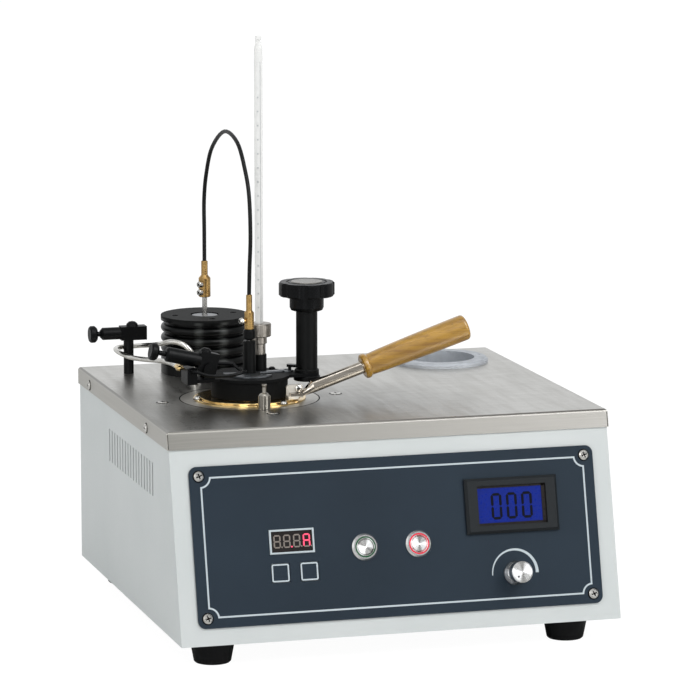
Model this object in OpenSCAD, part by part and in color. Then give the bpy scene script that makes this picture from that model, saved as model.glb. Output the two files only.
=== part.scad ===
// Closed-cup flash point tester: a bench cabinet with a sloped control panel,
// a sunk air-bath stove with its brass cup and black lid, a stirrer driven by a
// finned motor through a flexible shaft, a gas igniter, a shutter column and a
// cooling well.

/* [Cabinet] */
// Width of the stainless top
body_w = 350; // [335:1:380]
// Depth of the stainless top
body_d = 300; // [295:1:330]
// Height from the cabinet's underside to the stainless top
body_h = 157; // [156:1:180]
// Angle that the front leans forward towards its foot
lean = 14.26; // [10:0.1:16]
// Thickness of the painted steel sheet
sheet = 1.2; // [0.8:0.1:1.6]
// Thickness of the stainless sheet
top_t = 1; // [0.8:0.1:1.4]
// Depth of the stainless top's folded skirt
skirt_h = 13.6; // [12:0.1:16]
// Outer radius of the folds along the top's edges
fold_r = 2.6; // [2:0.1:3.4]
// Height of a rubber foot
foot_h = 18; // [12:0.5:22]
// Radius of a rubber foot at its top
foot_r = 17.2; // [12:0.2:18]
// Distance of a left foot's centre from the top's left edge
foot_side = 31.5; // [24:0.5:40]
// Distance of a right foot's centre from the top's right edge
foot_right = 37.5; // [24:0.5:42]
// Distance of a front foot from the cabinet's lower front edge
foot_front = 9; // [1:0.5:12]
// Number of vent slots on each side
vents = 17; // [8:1:19]
// Spacing of the vent slots
vent_pitch = 9; // [7:0.5:10]
// Length of a vent slot
vent_l = 26; // [15:1:35]
// Width of a vent slot
vent_w = 3; // [2:0.5:4]

/* [Front panel] */
// Distance of the dark front panel from the top's side edges
panel_side = 15; // [10:0.5:20]
// Distance along the slope from the panel to the cabinet's lower edge
panel_foot = 13; // [10:0.5:16]
// Thickness of the front panel
panel_t = 1.5; // [1.2:0.1:2.5]
// Distance down the slope from the top edge to the panel
panel_drop = 27.5; // [25:0.5:30]
// Corner radius of the front panel
panel_r = 6; // [3:0.5:9]
// Width of the voltmeter's bezel
meter_w = 74; // [66:0.5:78]
// Height of the voltmeter's bezel
meter_h = 42.5; // [38:0.5:44]
// Width of the LED display's frame
led_w = 35; // [32:0.2:38]
// Height of the LED display's frame
led_h = 18.6; // [16:0.2:20]
// Side of a square key
key_s = 14.6; // [10:0.2:15]
// Radius of a push button's bezel
button_r = 10.3; // [9.8:0.1:12]
// Travel of a push button
button_travel = 2.5; // [1.5:0.1:3]
// Radius of the heating knob
knob_r = 8.2; // [7:0.1:9]
// Length of the heating knob
knob_l = 18; // [14:0.5:20]

/* [Stove and cup] */
// Distance of the stove's centre from the left edge
stove_x = 97; // [94:1:105]
// Distance of the stove's centre from the top's front edge
stove_y = 122; // [118:1:124]
// Radius of the stove's top plate
stove_r = 54.4; // [53.5:0.2:56]
// Inner radius of the brass cup
cup_r = 25.4; // [24.4:0.1:25.6]
// Wall of the brass cup
cup_wall = 2; // [1.6:0.1:2.2]
// Inner depth of the brass cup
cup_depth = 55.8; // [54:0.2:60]
// Height of the cup's rim over its flange's seat
cup_rim = 13; // [11:0.2:15]
// Radius of the cup's flange
flange_r = 39.5; // [38:0.5:41]
// Thickness of the cup's flange
flange_t = 2.4; // [2:0.1:3]
// Angle that the cup's handle rises
handle_rise = 18.4; // [12:0.2:22]
// Length of the steel rod that shows before the wood
rod_l = 54.5; // [40:0.5:60]
// Length of the wooden handle
wood_l = 89.5; // [70:0.5:95]
// Radius of the wooden handle near its end
wood_r = 10.2; // [9.4:0.1:11]

/* [Lid] */
// Outer radius of the lid's skirt
lid_r = 30; // [29.6:0.1:31]
// Thickness of the lid's top
lid_t = 3.5; // [3:0.1:4.5]
// Thickness of the lid's carrier plate
carrier_t = 2.5; // [2:0.1:3.5]
// Distance from the stirrer's axis to the column's axis
column_x = 46; // [45:0.5:48]
// Radius of the shutter column
column_r = 8.4; // [7.5:0.05:8.6]
// Height of the shutter column over the carrier plate
column_h = 48.5; // [40:0.1:60]
// Outer radius of the star knob
star_r = 21.9; // [18:0.1:25]
// Number of lobes of the star knob
star_lobes = 8; // [6:1:10]
// Height of the thermometer's top over the carrier plate
thermo_h = 263; // [230:1:280]
// Radius of the thermometer's glass
thermo_r = 3.3; // [3.2:0.05:3.6]
// Sideways place of the thermometer from the stirrer's axis
thermo_x = 11.9; // [11.6:0.1:12.6]
// Place of the thermometer behind the stirrer's axis
thermo_y = 14.5; // [14:0.1:15]
// Height of the stirrer's bearing over the carrier plate
bearing_h = 26.6; // [20:0.2:28]
// Radius of the stirrer's lower propeller
blade_r = 14; // [10:0.5:15]

/* [Drive] */
// Distance of the motor's centre from the left edge
motor_x = 94.3; // [90:0.1:100]
// Distance of the motor's centre from the top's front edge
motor_y = 251.4; // [248:0.2:255]
// Radius of the motor's fins
motor_r = 35.6; // [32:0.2:37]
// Height of the motor over the stainless top
motor_h = 46.6; // [42:0.2:52]
// Number of cooling fins on the motor
fins = 4; // [3:1:5]
// Radius of the flexible shaft
cable_r = 1.45; // [1.2:0.05:1.5]

/* [Gas] */
// Distance of the gas post from the left edge
post_x = 32.8; // [32.4:0.2:34]
// Distance of the gas post from the top's front edge
post_y = 259.4; // [258:0.2:261]
// Radius of the gas post
post_r = 4.05; // [3.6:0.05:4.5]
// Height of the gas post
post_h = 27.4; // [26:0.2:30]
// Radius of the gas pipe
pipe_r = 2; // [1.6:0.1:2.2]
// Radius of a gas valve's knob
valve_r = 6.8; // [5.5:0.1:7.2]
// Tilt of the igniter's barrel at rest
tilt = 13.2; // [10:0.2:15]

/* [Cooling well] */
// Distance of the well's centre from the top's right edge
well_side = 59; // [58:1:66]
// Distance of the well's centre from the top's front edge
well_y = 244; // [240:1:246]
// Bore radius of the cooling well
well_r = 28.65; // [28:0.05:29.5]
// Radius of the well's rim
well_rim_r = 39.8; // [36:0.2:40.4]
// Height of the well's rim
well_rim_h = 3.65; // [2.5:0.05:5]
// Depth of the cooling well
well_depth = 50; // [40:1:54]

/* [Hidden] */
$fn = 64;

// Radial clearance of a running fit
run = 0.05;
// Clearance between pieces that are slipped together
slip = 0.1;
// Clearance between pieces that move past each other
gap = 0.35;
// Step in from the stainless skirt to the painted sheet
inset = top_t + 0.2;

// Front panel layout, from the left edge and down the slope
panel_x = panel_side;
panel_w = body_w - 2 * panel_side;
panel_h = body_h / cos(lean) - panel_drop - panel_foot;
screw_edge = 7.4;
screw_head = 3.8;
led_x = panel_x + 58.6;
led_s = panel_drop + 50.6;
key_s1 = led_s + led_h + 6.8;
key_x1 = led_x + 0.3;
key_x2 = key_x1 + 22.6;
key_travel = 0.4;
button_s = panel_drop + 67.6;
fan_x = panel_x + panel_w * 0.4156;
power_x = panel_x + panel_w * 0.5484;
button_disc = button_r - 4.3;
button_ring = button_r - 2.3;
button_proud = 2.2;
meter_x = panel_x + panel_w - 31.7 - meter_w;
meter_s = panel_drop + 21;
lcd_w = meter_w - 19.2;
lcd_h = meter_h - 12.1;
knob_x = panel_x + panel_w - 69;
knob_s = panel_drop + 94.4;
knob_shaft = 3;

// Frame: the places are measured from the stainless top's front left corner
rear_reach = 14;
knob_tip = inset - (knob_s + knob_r) * sin(lean) - (panel_t + gap + knob_l) * cos(lean);
front_y = -(knob_tip + body_d + rear_reach) / 2;
top_z = foot_h + body_h;

// Stove, cup and lid heights over the stainless top
plate_t = 2;
ring_r = stove_r - 10.4;
ring_top = 1.2;
cup_out = cup_r + cup_wall;
bath_r = cup_out + 2.2;
stove_out = 47;
cup_floor = 2.4;
cup_low = cup_rim - cup_depth - cup_floor;
stove_low = cup_low - 14;
lid_top = cup_rim + lid_t;
deck = lid_top + carrier_t;
can_r = 61;
can_flange = 76;
can_low = stove_low - 22;
cover_screw_r = 70;
cover_shank = 2;

// Handle: the tongue's place from the stove's axis
grip_x = 33;
grip_y = -25;
grip_t = 2.2;
rod_r = 4.9;

// Column and shutter drive
column_y = -2;
column_bore = 4;
foot_flange = 9.6;
foot_flange_t = 2.5;
crank_r = 14;
crank_swing = 60;
crank_pin = 1.3;
crank_z = deck + foot_flange_t + 0.8;
crank_t = 2;
crank_mid = atan2(-column_y, -column_x);
column_d = norm([column_x, column_y]);
shutter_swing = 2 * atan2(crank_r * sin(crank_swing / 2), column_d - crank_r * cos(crank_swing / 2));
shutter_t = 1.2;
shutter_z = deck + slip;
port_r = 2.9;
port_at = 15.5;
port_a = [-84.6, -131.6, -178.6];

// Igniter: places from the stirrer's axis
block_x = -35.6;
block_y = -7;
block_z = deck + 12.5;
block_l = 15;
block_w = 9.5;
block_h = 15.5;
barrel_r = 5.8;
barrel_l = 27;
pivot_z = deck + 8;
pivot_r = 1.5;
ear_t = 2;
feed_x = -50.3;
feed_y = -8;
feed_w = 8;
feed_l = 20;
feed_low = deck - 3.3;
feed_h = block_z + (block_x - feed_x - feed_w / 2) * tan(tilt) - barrel_r / cos(tilt) - gap - feed_low;
pilot_r = 1.3;
lobe_l = 17;
union_r = 2.6;
union_l = 6;
union_x = feed_x - feed_w / 2 - union_r - slip;
union_y = feed_y + 7;
union_z = deck + 8;

// Thermometer and stirrer heights
socket_h = 13.2;
ferrule_cap = 27.2;
ferrule_r = 5;
ferrule_cap_r = 9.4;
stem_r = thermo_r - 0.4;
bulb_low = -31;
shaft_r = 1.5;
bearing_r = 4.9;
hub_low = deck + bearing_h + 1.2;
hub_mid = hub_low + 7.6;
hub_top = hub_mid + 14.6;
hub_tip = hub_top + 12.7;
motor_shaft_r = 2.05;
drive_z = motor_h + 14.3;
drive_top = drive_z + 29.3;
tip_l = 10;
tip_r = cable_r + 0.05;
rotor_r = 20;

// Cooling well
well_x = body_w - well_side;
well_wall = 1.6;

// Rear panel layout
fan_size = 80;
fan_t = 25;
fan_cx = body_w - 65;
fan_cz = -body_h + 48;
inlet_x = 70;
inlet_z = -body_h + 42;
inlet_w = 27;
inlet_h = 20;
nipple_x = 28;
nipple_z = -60;
nipple_r = 4;
hose_r = 3.5;
back_y = body_d - inset - sheet;
nipple_l = rear_reach + inset + sheet;

// Gas pipe's route from its outlet to the lid's union, from the top's front left corner
pipe_route = [[72, 195, 0], [72, 195, 14], [70, 196, 24], [64, 199, 31], [56, 206, 33],
    [50, 217, 30], [46, 236, 26], [42, 259, 22], [35, 269, 20], [27, 269, 19.6],
    [22.6, 261, 19.4], [24.5, 251, 17.8], [29, 236, 16.8], [33, 205, 20], [38, 165, 25]];
// Flexible shaft's arch: share of the way from the motor to the stirrer, and height
arch_route = [[0, 115], [0, 140], [0.055, 162], [0.19, 185], [0.475, 202], [0.76, 197],
    [0.93, 177], [1.01, 158], [1.035, 128], [1.012, 102]];

function unit(v) = v / norm(v);

// Points of the arc that rounds the corner p between the points a and b
function fillet(a, p, b, r, n = 6) =
    let (u = unit(a - p), v = unit(b - p), half = acos(u * v) / 2)
    let (c = p + unit(u + v) * r / sin(half), s = p + u * r / tan(half) - c)
    let (e = p + v * r / tan(half) - c, a0 = atan2(s[1], s[0]), a1 = atan2(e[1], e[0]))
    let (turn = (a1 - a0 + 540) % 360 - 180)
    [for (i = [0:n]) c + r * [cos(a0 + turn * i / n), sin(a0 + turn * i / n)]];

// Point of a smooth curve through the points p, at t from 0 to 1 on its span i
function span_at(p, i, t) =
    let (a = p[max(i - 1, 0)], b = p[i], c = p[i + 1], d = p[min(i + 2, len(p) - 1)])
    0.5 * (2 * b + (c - a) * t + (2 * a - 5 * b + 4 * c - d) * t * t
    + (3 * b - a - 3 * c + d) * t * t * t);

function smooth(p, steps) = concat(
    [for (i = [0:len(p) - 2], k = [0:steps - 1]) span_at(p, i, k / steps)], [p[len(p) - 1]]);

function along(p, i) = unit(p[min(i + 1, len(p) - 1)] - p[max(i - 1, 0)]);

// First side vector at each ring, carried along the route with no twist
function frames(p, i, s) =
    let (t = along(p, i), now = unit(s - t * (s * t)))
    i == len(p) - 1 ? [now] : concat([now], frames(p, i + 1, now));

// Round tube along the points p
module tube(p, r, sides, first) {
    s = frames(p, 0, first);
    n = len(p);
    rings = [for (i = [0:n - 1], k = [0:sides - 1])
        let (t = along(p, i), u = s[i], v = cross(t, u), a = 360 * k / sides)
        p[i] + r * (u * cos(a) + v * sin(a))];
    walls = [for (i = [0:n - 2], k = [0:sides - 1], h = [0, 1])
        let (a = i * sides + k, b = i * sides + (k + 1) % sides)
        h == 0 ? [a, a + sides, b + sides] : [a, b + sides, b]];
    caps = [for (k = [1:sides - 2], h = [0, 1])
        let (z = (n - 1) * sides) h == 0 ? [0, k, k + 1] : [z, z + k + 1, z + k]];
    polyhedron(rings, concat(walls, caps));
}

// Moves its children to the stainless top's front left corner
module on_top() {
    translate([-body_w / 2, front_y, top_z]) children();
}

// Moves its children to the stove's axis at the stainless top
module on_stove() {
    on_top() translate([stove_x, stove_y, 0]) children();
}

// Moves its children to the sloped front, at x from the left and s down the slope
module on_front(x, s) {
    on_top() translate([0, inset, 0]) rotate([90 - lean, 0, 0]) translate([x, -s, 0]) children();
}

// Turns its children's +Z to the back
module to_back() {
    rotate([-90, 0, 0]) children();
}

// Extrudes an outline in depth and height across the width, from x0 to x1
module across(x0, x1) {
    translate([x0, 0, 0]) rotate([90, 0, 90]) linear_extrude(x1 - x0) children();
}

// Extrudes an outline in width and height from the front, from y0 to y1
module rearward(y0, y1) {
    translate([0, y1, 0]) rotate([90, 0, 0]) linear_extrude(y1 - y0) children();
}

module round_rect(w, h, r) {
    translate([r, 0]) square([w - 2 * r, h]);
    translate([0, r]) square([w, h - 2 * r]);
    for (x = [r, w - r], y = [r, h - r]) translate([x, y]) circle(r);
}

// Frame with bevelled outer edges, its corner at the origin
module bevelled(w, h, t, b) {
    straight = t - b;
    linear_extrude(straight) square([w, h]);
    hull() {
        translate([0, 0, straight]) linear_extrude(0.01) square([w, h]);
        translate([b, b, t - 0.01]) linear_extrude(0.01) square([w - 2 * b, h - 2 * b]);
    }
}

// Pan head screw with a cross recess and a plain shank below its seat
module screw(head_r, head_h, shank_r, shank_l) {
    difference() {
        union() {
            rotate_extrude() polygon([[0, 0], [head_r, 0], [head_r, head_h * 0.45],
                [head_r * 0.72, head_h], [0, head_h]]);
            translate([0, 0, -shank_l]) cylinder(r = shank_r, h = shank_l + 0.1);
        }
        for (a = [0, 90]) rotate(a) translate([-head_r * 0.6, -head_r * 0.13, head_h * 0.35])
            cube([head_r * 1.2, head_r * 0.26, head_h]);
    }
}

// Outline of the cabinet from the side, its walls moved in by d
function side_outline(d, top, low) = [
    [inset + d / cos(lean) + top * tan(lean), top],
    [inset + d / cos(lean) + low * tan(lean), low],
    [body_d - inset - d, low],
    [body_d - inset - d, top]];

// Outline of the stainless top from the side, its walls moved in by d
function cover_outline(d) =
    let (r = fold_r - d, low = -skirt_h - d * 4, front = d / cos(lean))
    let (a = [front + low * tan(lean), low], b = [front - d * tan(lean), -d])
    let (c = [body_d - d, -d], e = [body_d - d, low])
    concat([a], fillet(a, b, c, r), fillet(b, c, e, r), [e]);

// Outline of the stainless top from the front, its walls moved in by d
function cover_width(d) =
    let (r = fold_r - d, low = -skirt_h - d * 4)
    let (a = [d, low], b = [d, -d], c = [body_w - d, -d], e = [body_w - d, low])
    concat([a], fillet(a, b, c, r), fillet(b, c, e, r), [e]);

module cover_block(d) {
    intersection() {
        across(-1, body_w + 1) polygon(cover_outline(d));
        rearward(-body_h, body_d + 1) polygon(cover_width(d));
    }
}

// Places of the screws along the skirt's sides, from the front
skirt_screws = [64, 258];
skirt_screw_z = -8.3;

module side_screw_places() {
    for (y = skirt_screws) {
        translate([0, y, skirt_screw_z]) rotate([0, -90, 0]) children();
        translate([body_w, y, skirt_screw_z]) rotate([0, 90, 0]) children();
    }
}

module stove_screw_places() {
    for (a = [0:90:270]) translate([stove_x, stove_y, 0])
        rotate(a) translate([cover_screw_r, 0, 0]) children();
}

function foot_places() = [for (x = [foot_side, body_w - foot_right],
    y = [inset - body_h * tan(lean) + foot_r + foot_front, body_d - 28]) [x, y]];

module cabinet() {
    flange = 11;
    color("#d3d8d7") on_top() difference() {
        across(inset, body_w - inset) polygon(side_outline(0, -fold_r - 0.4, -body_h));
        across(inset + sheet, body_w - inset - sheet)
            polygon(side_outline(sheet, 1, -body_h + sheet));
        across(inset + flange, body_w - inset - flange)
            polygon(side_outline(flange, -body_h + 2 * sheet, -body_h - 1));
        translate([inset + flange, back_y - 1, -body_h + flange])
            cube([body_w - 2 * (inset + flange), sheet + 3, body_h]);
        for (i = [0:vents - 1]) translate([-1, vent_y(i), vent_top - vent_l])
            cube([body_w + 2, vent_w, vent_l]);
        side_screw_places() translate([0, 0, -5]) cylinder(r = 1.5, h = 10);
        for (p = foot_places()) translate([p[0], p[1], -body_h - 1]) cylinder(r = 2.2, h = 3);
        front_cuts(-sheet - 1, 1);
    }
}

vent_top = -32.5;
function vent_y(i) = 48 + i * vent_pitch;

// Holes through the painted front for the controls, from depth z0 to z1
module front_cuts(z0, z1) {
    deep = z1 - z0;
    translate([0, inset, 0]) rotate([90 - lean, 0, 0]) translate([0, 0, z0]) {
        translate([led_x + 3, -led_s - led_h + 3, 0]) cube([led_w - 6, led_h - 6, deep]);
        translate([meter_x + 4, -meter_s - meter_h + 4, 0]) cube([meter_w - 8, meter_h - 8, deep]);
        for (x = [fan_x, power_x]) translate([x, -button_s, 0])
            cylinder(r = button_r - 1.5, h = deep);
        translate([knob_x, -knob_s, 0]) cylinder(r = knob_shaft + 1.6, h = deep);
        for (p = panel_screw_places()) translate([p[0], -p[1], 0]) cylinder(r = 1.6, h = deep);
    }
}

function panel_screw_places() = [for (x = [screw_edge, panel_w - screw_edge],
    s = [screw_edge, panel_h - screw_edge]) [panel_x + x, panel_drop + s]];

module top_cover() {
    color("#b9b6b0") on_top() difference() {
        cover_block(0);
        cover_block(top_t);
        translate([stove_x, stove_y, -5]) cylinder(r = stove_r + 0.6, h = 10);
        translate([well_x, well_y, -5]) cylinder(r = well_r + well_wall + slip, h = 10);
        stove_screw_places() translate([0, 0, -5]) cylinder(r = cover_shank + slip, h = 10);
        side_screw_places() translate([0, 0, -5]) cylinder(r = 1.5, h = 10);
        translate([pipe_route[0][0], pipe_route[0][1], -5]) cylinder(r = pipe_r, h = 10);
        translate([motor_x, motor_y, -5]) cylinder(r = 8, h = 10);
    }
}

module base_plate() {
    front = inset + (sheet + gap) / cos(lean) - (body_h - 2 * sheet) * tan(lean) + 0.6;
    color("#9a9d9e") on_top() translate([0, 0, -body_h + sheet]) difference() {
        translate([inset + sheet + slip, front, 0])
            cube([body_w - 2 * (inset + sheet + slip), back_y - sheet - slip - front, sheet]);
        for (p = foot_places()) translate([p[0], p[1], -1]) cylinder(r = 2.2, h = 4);
        for (i = [0:8]) translate([fan_cx - 90 + i * 12, 120, -1]) cube([5, 60, 4]);
    }
}

module rear_panel() {
    low = -body_h + 2 * sheet;
    color("#c6cbcb") on_top() difference() {
        translate([inset + sheet + slip, back_y - sheet, low])
            cube([body_w - 2 * (inset + sheet + slip), sheet, -low - fold_r - 3]);
        for (i = [-4:4]) {
            half = sqrt(pow(fan_size / 2 - 4, 2) - pow(8 * i, 2));
            translate([fan_cx + 8 * i - 2.2, back_y - 2 * sheet, fan_cz - half])
                cube([4.4, 3 * sheet, 2 * half]);
        }
        translate([inlet_x - inlet_w / 2 - slip, back_y - 2 * sheet, inlet_z - inlet_h / 2 - slip])
            cube([inlet_w + 2 * slip, 3 * sheet, inlet_h + 2 * slip]);
        translate([nipple_x, back_y - 2 * sheet, nipple_z])
            to_back() cylinder(r = nipple_r + slip, h = 3 * sheet);
    }
}

module feet() {
    color("#141517") on_top() for (p = foot_places()) translate([p[0], p[1], -body_h - foot_h])
        rotate_extrude() polygon([[5, 0], [foot_r - 4, 0], [foot_r - 3, 1], [foot_r, foot_h - 1.5],
            [foot_r, foot_h], [2, foot_h], [2, 5], [5, 5]]);
}

module front_panel() {
    color("#3a444e") on_front(panel_x, panel_drop + panel_h) difference() {
        linear_extrude(panel_t) round_rect(panel_w, panel_h, panel_r);
        translate([led_x - panel_x + 3, panel_drop + panel_h - led_s - led_h + 3, -1])
            cube([led_w - 6, led_h - 6, panel_t + 2]);
        translate([meter_x - panel_x + 4, panel_drop + panel_h - meter_s - meter_h + 4, -1])
            cube([meter_w - 8, meter_h - 8, panel_t + 2]);
        for (x = [key_x1, key_x2])
            translate([x - panel_x, panel_drop + panel_h - key_s1 - key_s, -1])
            cube([key_s, key_s, panel_t + 2]);
        for (x = [fan_x, power_x])
            translate([x - panel_x, panel_drop + panel_h - button_s, -1])
            cylinder(r = button_r - 1.5, h = panel_t + 2);
        translate([knob_x - panel_x, panel_drop + panel_h - knob_s, -1])
            cylinder(r = knob_shaft + 1.6, h = panel_t + 2);
        for (p = panel_screw_places())
            translate([p[0] - panel_x, panel_drop + panel_h - p[1], -1])
            cylinder(r = 1.6, h = panel_t + 2);
    }
}

module panel_screws() {
    color("#c9ccce") for (p = panel_screw_places()) on_front(p[0], p[1])
        translate([0, 0, panel_t]) rotate(20) screw(screw_head, 2.1, 1.5, panel_t + sheet + 3);
}

module cover_screws() {
    color("#c9ccce") on_top() {
        side_screw_places() screw(3.4, 1.6, 1.4, 5);
        stove_screw_places() screw(4.2, 0.7, cover_shank, 6);
    }
}

module led_display() {
    color("#c8cdd0") on_front(led_x, led_s + led_h) difference() {
        union() {
            translate([0, 0, panel_t]) bevelled(led_w, led_h, 1.2, 0.4);
            translate([3 + slip, 3 + slip, -18])
                cube([led_w - 6 - 2 * slip, led_h - 6 - 2 * slip, 18 + panel_t + 0.1]);
        }
        translate([1.4, 1.4, panel_t + 0.5]) cube([led_w - 2.8, led_h - 2.8, 3]);
    }
}

module voltmeter() {
    color("#3c3b38") on_front(meter_x, meter_s + meter_h) difference() {
        union() {
            translate([0, 0, panel_t]) bevelled(meter_w, meter_h, 4, 2);
            translate([4 + slip, 4 + slip, -24])
                cube([meter_w - 8 - 2 * slip, meter_h - 8 - 2 * slip, 24 + panel_t + 0.1]);
        }
        translate([(meter_w - lcd_w) / 2, (meter_h - lcd_h) / 2, panel_t + 1])
            cube([lcd_w, lcd_h, 5]);
    }
}

module meter_lcd() {
    color("#1f2f96") on_front(meter_x, meter_s + meter_h)
        translate([(meter_w - lcd_w) / 2 + slip, (meter_h - lcd_h) / 2 + slip, panel_t + 1])
        cube([lcd_w - 2 * slip, lcd_h - 2 * slip, 1.2]);
}

module key_cap() {
    translate([gap, gap, key_travel + slip]) bevelled(key_s - 2 * gap, key_s - 2 * gap, panel_t + 0.2, 0.3);
}

module method_key() {
    color("#46525e") on_front(key_x1, key_s1 + key_s) key_cap();
}

module start_key() {
    color("#46525e") on_front(key_x2, key_s1 + key_s) key_cap();
}

// Push button's housing: bezel, barrel and the bore that its ring and cap sit in
module button_bodies() {
    barrel = button_r - 1.5 - slip;
    color("#c4c8ca") for (x = [fan_x, power_x]) on_front(x, button_s) rotate_extrude()
        polygon([[0, -24], [barrel, -24], [barrel, panel_t], [button_r, panel_t],
            [button_r, panel_t + 0.8], [button_r - 1.2, panel_t + button_proud],
            [button_ring, panel_t + button_proud], [button_ring, panel_t - 4],
            [button_disc + gap, panel_t - 4], [button_disc + gap, panel_t - 7 - button_travel],
            [0, panel_t - 7 - button_travel]]);
}

module lit_ring(x) {
    on_front(x, button_s) rotate_extrude()
        polygon([[button_disc + gap, panel_t - 4], [button_ring - slip, panel_t - 4],
            [button_ring - slip, panel_t + button_proud - 0.5],
            [button_disc + gap, panel_t + button_proud - 0.2]]);
}

module fan_ring() {
    color("#0c6b3a") lit_ring(fan_x);
}

module power_ring() {
    color("#e02040") lit_ring(power_x);
}

module button_cap(x) {
    on_front(x, button_s) rotate_extrude()
        polygon([[0, panel_t - 6.7], [button_disc, panel_t - 6.7],
            [button_disc, panel_t + button_proud], [button_disc - 0.5, panel_t + button_proud + 0.5],
            [0, panel_t + button_proud + 0.2]]);
}

module fan_button() {
    color("#b8babc") button_cap(fan_x);
}

module power_button() {
    color("#b8babc") button_cap(power_x);
}

module heating_regulator() {
    color("#57585a") on_front(knob_x, knob_s) difference() {
        union() {
            translate([0, 0, -sheet - 14]) cylinder(r = 12, h = 14);
            translate([0, 0, -sheet - 1]) cylinder(r = knob_shaft + 1.5, h = sheet + panel_t + 1);
            translate([-5, 12 - 3, -sheet - 14]) cube([10, 9, 2]);
        }
        translate([0, 0, -sheet - 9]) cylinder(r = knob_shaft + run, h = 20);
    }
}

module heating_knob() {
    base = panel_t + gap;
    color("#b9bcbe") on_front(knob_x, knob_s) difference() {
        union() {
            translate([0, 0, base]) rotate_extrude() polygon([[0, 0], [knob_r + 1.1, 0],
                [knob_r + 1.1, 2], [knob_r - 0.2, 4.5], [knob_r - 1.4, 4.5], [knob_r - 1.4, 8.5],
                [knob_r, 8.5], [knob_r, knob_l - 0.9], [knob_r - 0.9, knob_l], [0, knob_l]]);
            translate([0, 0, -sheet - 8]) cylinder(r = knob_shaft, h = base + sheet + 9);
        }
        rotate(225) translate([knob_r - 3.3, 0, base + knob_l - 0.5]) cylinder(r = 0.8, h = 2);
    }
}

module stove() {
    color("#4a4743") on_stove() rotate_extrude() polygon([[0, stove_low], [stove_out, stove_low],
        [stove_out, -plate_t], [bath_r, -plate_t], [bath_r, cup_low - 3], [0, cup_low - 3]]);
}

module stove_plate() {
    color("#a9a59e") on_stove() rotate_extrude() polygon([[ring_r + slip, -plate_t],
        [stove_r, -plate_t], [stove_r, -0.3], [stove_r - 0.3, 0], [ring_r + slip, 0]]);
}

module seat_ring() {
    color("#c69a4b") on_stove() rotate_extrude() polygon([[bath_r, -plate_t], [ring_r, -plate_t],
        [ring_r, ring_top - 0.3], [ring_r - 0.3, ring_top], [flange_r + gap, ring_top],
        [flange_r + gap, 0], [bath_r, 0]]);
}

module heater_band() {
    color("#8a7a68") on_stove() difference() {
        translate([0, 0, stove_low + 6]) cylinder(r = stove_out + 4, h = 36);
        translate([0, 0, stove_low]) cylinder(r = stove_out + slip, h = 60);
        translate([stove_out - 2, -2, stove_low]) cube([10, 4, 60]);
    }
}

// Sheet can that hangs under the top and carries the stove on its pillars
module stove_can() {
    under = -top_t;
    color("#a8abac") on_top() difference() {
        translate([stove_x, stove_y, 0]) union() {
            rotate_extrude() polygon([[0, can_low], [can_r, can_low], [can_r, under - sheet],
                [can_flange, under - sheet], [can_flange, under], [can_r - sheet, under],
                [can_r - sheet, can_low + sheet], [0, can_low + sheet]]);
            for (a = [30:120:270]) rotate(a) translate([stove_out - 10, 0, can_low + sheet / 2])
                cylinder(r = 4, h = stove_low - can_low - sheet / 2);
        }
        stove_screw_places() translate([0, 0, -10]) cylinder(r = cover_shank + slip, h = 12);
    }
}

module locating_post() {
    post_w = 4.9;
    color("#b4b3ae") on_stove() translate([-1.4, -(ring_r + stove_r) / 2, 0])
        rotate_extrude() polygon([[0, 0], [post_w, 0], [post_w, 10.8], [post_w - 0.5, 11.3],
            [3.4, 12.2], [1.6, 13], [1.5, 17], [2.1, 18.6], [2.1, 19.4], [0, 19.4]]);
}

module cooling_well() {
    color("#b9bdc0") on_top() translate([well_x, well_y, 0]) difference() {
        rotate_extrude() polygon([[0, -well_depth - 2], [well_r + well_wall, -well_depth - 2],
            [well_r + well_wall, 0], [well_rim_r, 0], [well_rim_r, well_rim_h - 1.6],
            [well_rim_r - 1.6, well_rim_h], [well_r, well_rim_h], [well_r, -well_depth],
            [0, -well_depth]]);
        for (a = [3, 183]) rotate(a)
            translate([(well_r + well_rim_r) / 2 + 0.4, 0, well_rim_h - 1.5]) cylinder(r = 1.3, h = 3);
    }
}

module motor_housing() {
    cap_t = 3.8;
    base_h = 7.6;
    pitch = (motor_h - cap_t - 2 - base_h) / fins;
    fin_r = pitch * 0.4;
    neck = motor_r - 6;
    color("#17181a") on_top() translate([motor_x, motor_y, 0]) difference() {
        rotate_extrude() union() {
            square([neck, motor_h - 1]);
            for (i = [0:fins - 1]) translate([0, base_h + pitch * (i + 0.5)]) {
                translate([neck - 1, -fin_r]) square([motor_r - fin_r - neck + 1, 2 * fin_r]);
                translate([motor_r - fin_r, 0]) circle(fin_r, $fn = 32);
            }
            square([motor_r, base_h]);
            translate([0, motor_h - cap_t]) square([motor_r, cap_t]);
        }
        translate([0, 0, motor_h - 1.2]) cylinder(r = 11.4, h = 3);
        translate([0, 0, -1]) cylinder(r = rotor_r + 1.5, h = motor_h - 8);
        translate([0, 0, -1]) cylinder(r = motor_shaft_r + run, h = motor_h + 3);
        for (a = [6, 178, 270]) rotate(a) translate([24.5, 0, motor_h - 5]) cylinder(r = 2.6, h = 6);
    }
}

module motor_shaft() {
    color("#a9abad") on_top() translate([motor_x, motor_y, 0]) {
        cylinder(r = motor_shaft_r, h = drive_z + 7.5);
        translate([0, 0, 2]) cylinder(r = rotor_r, h = motor_h - 13);
    }
}

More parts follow.
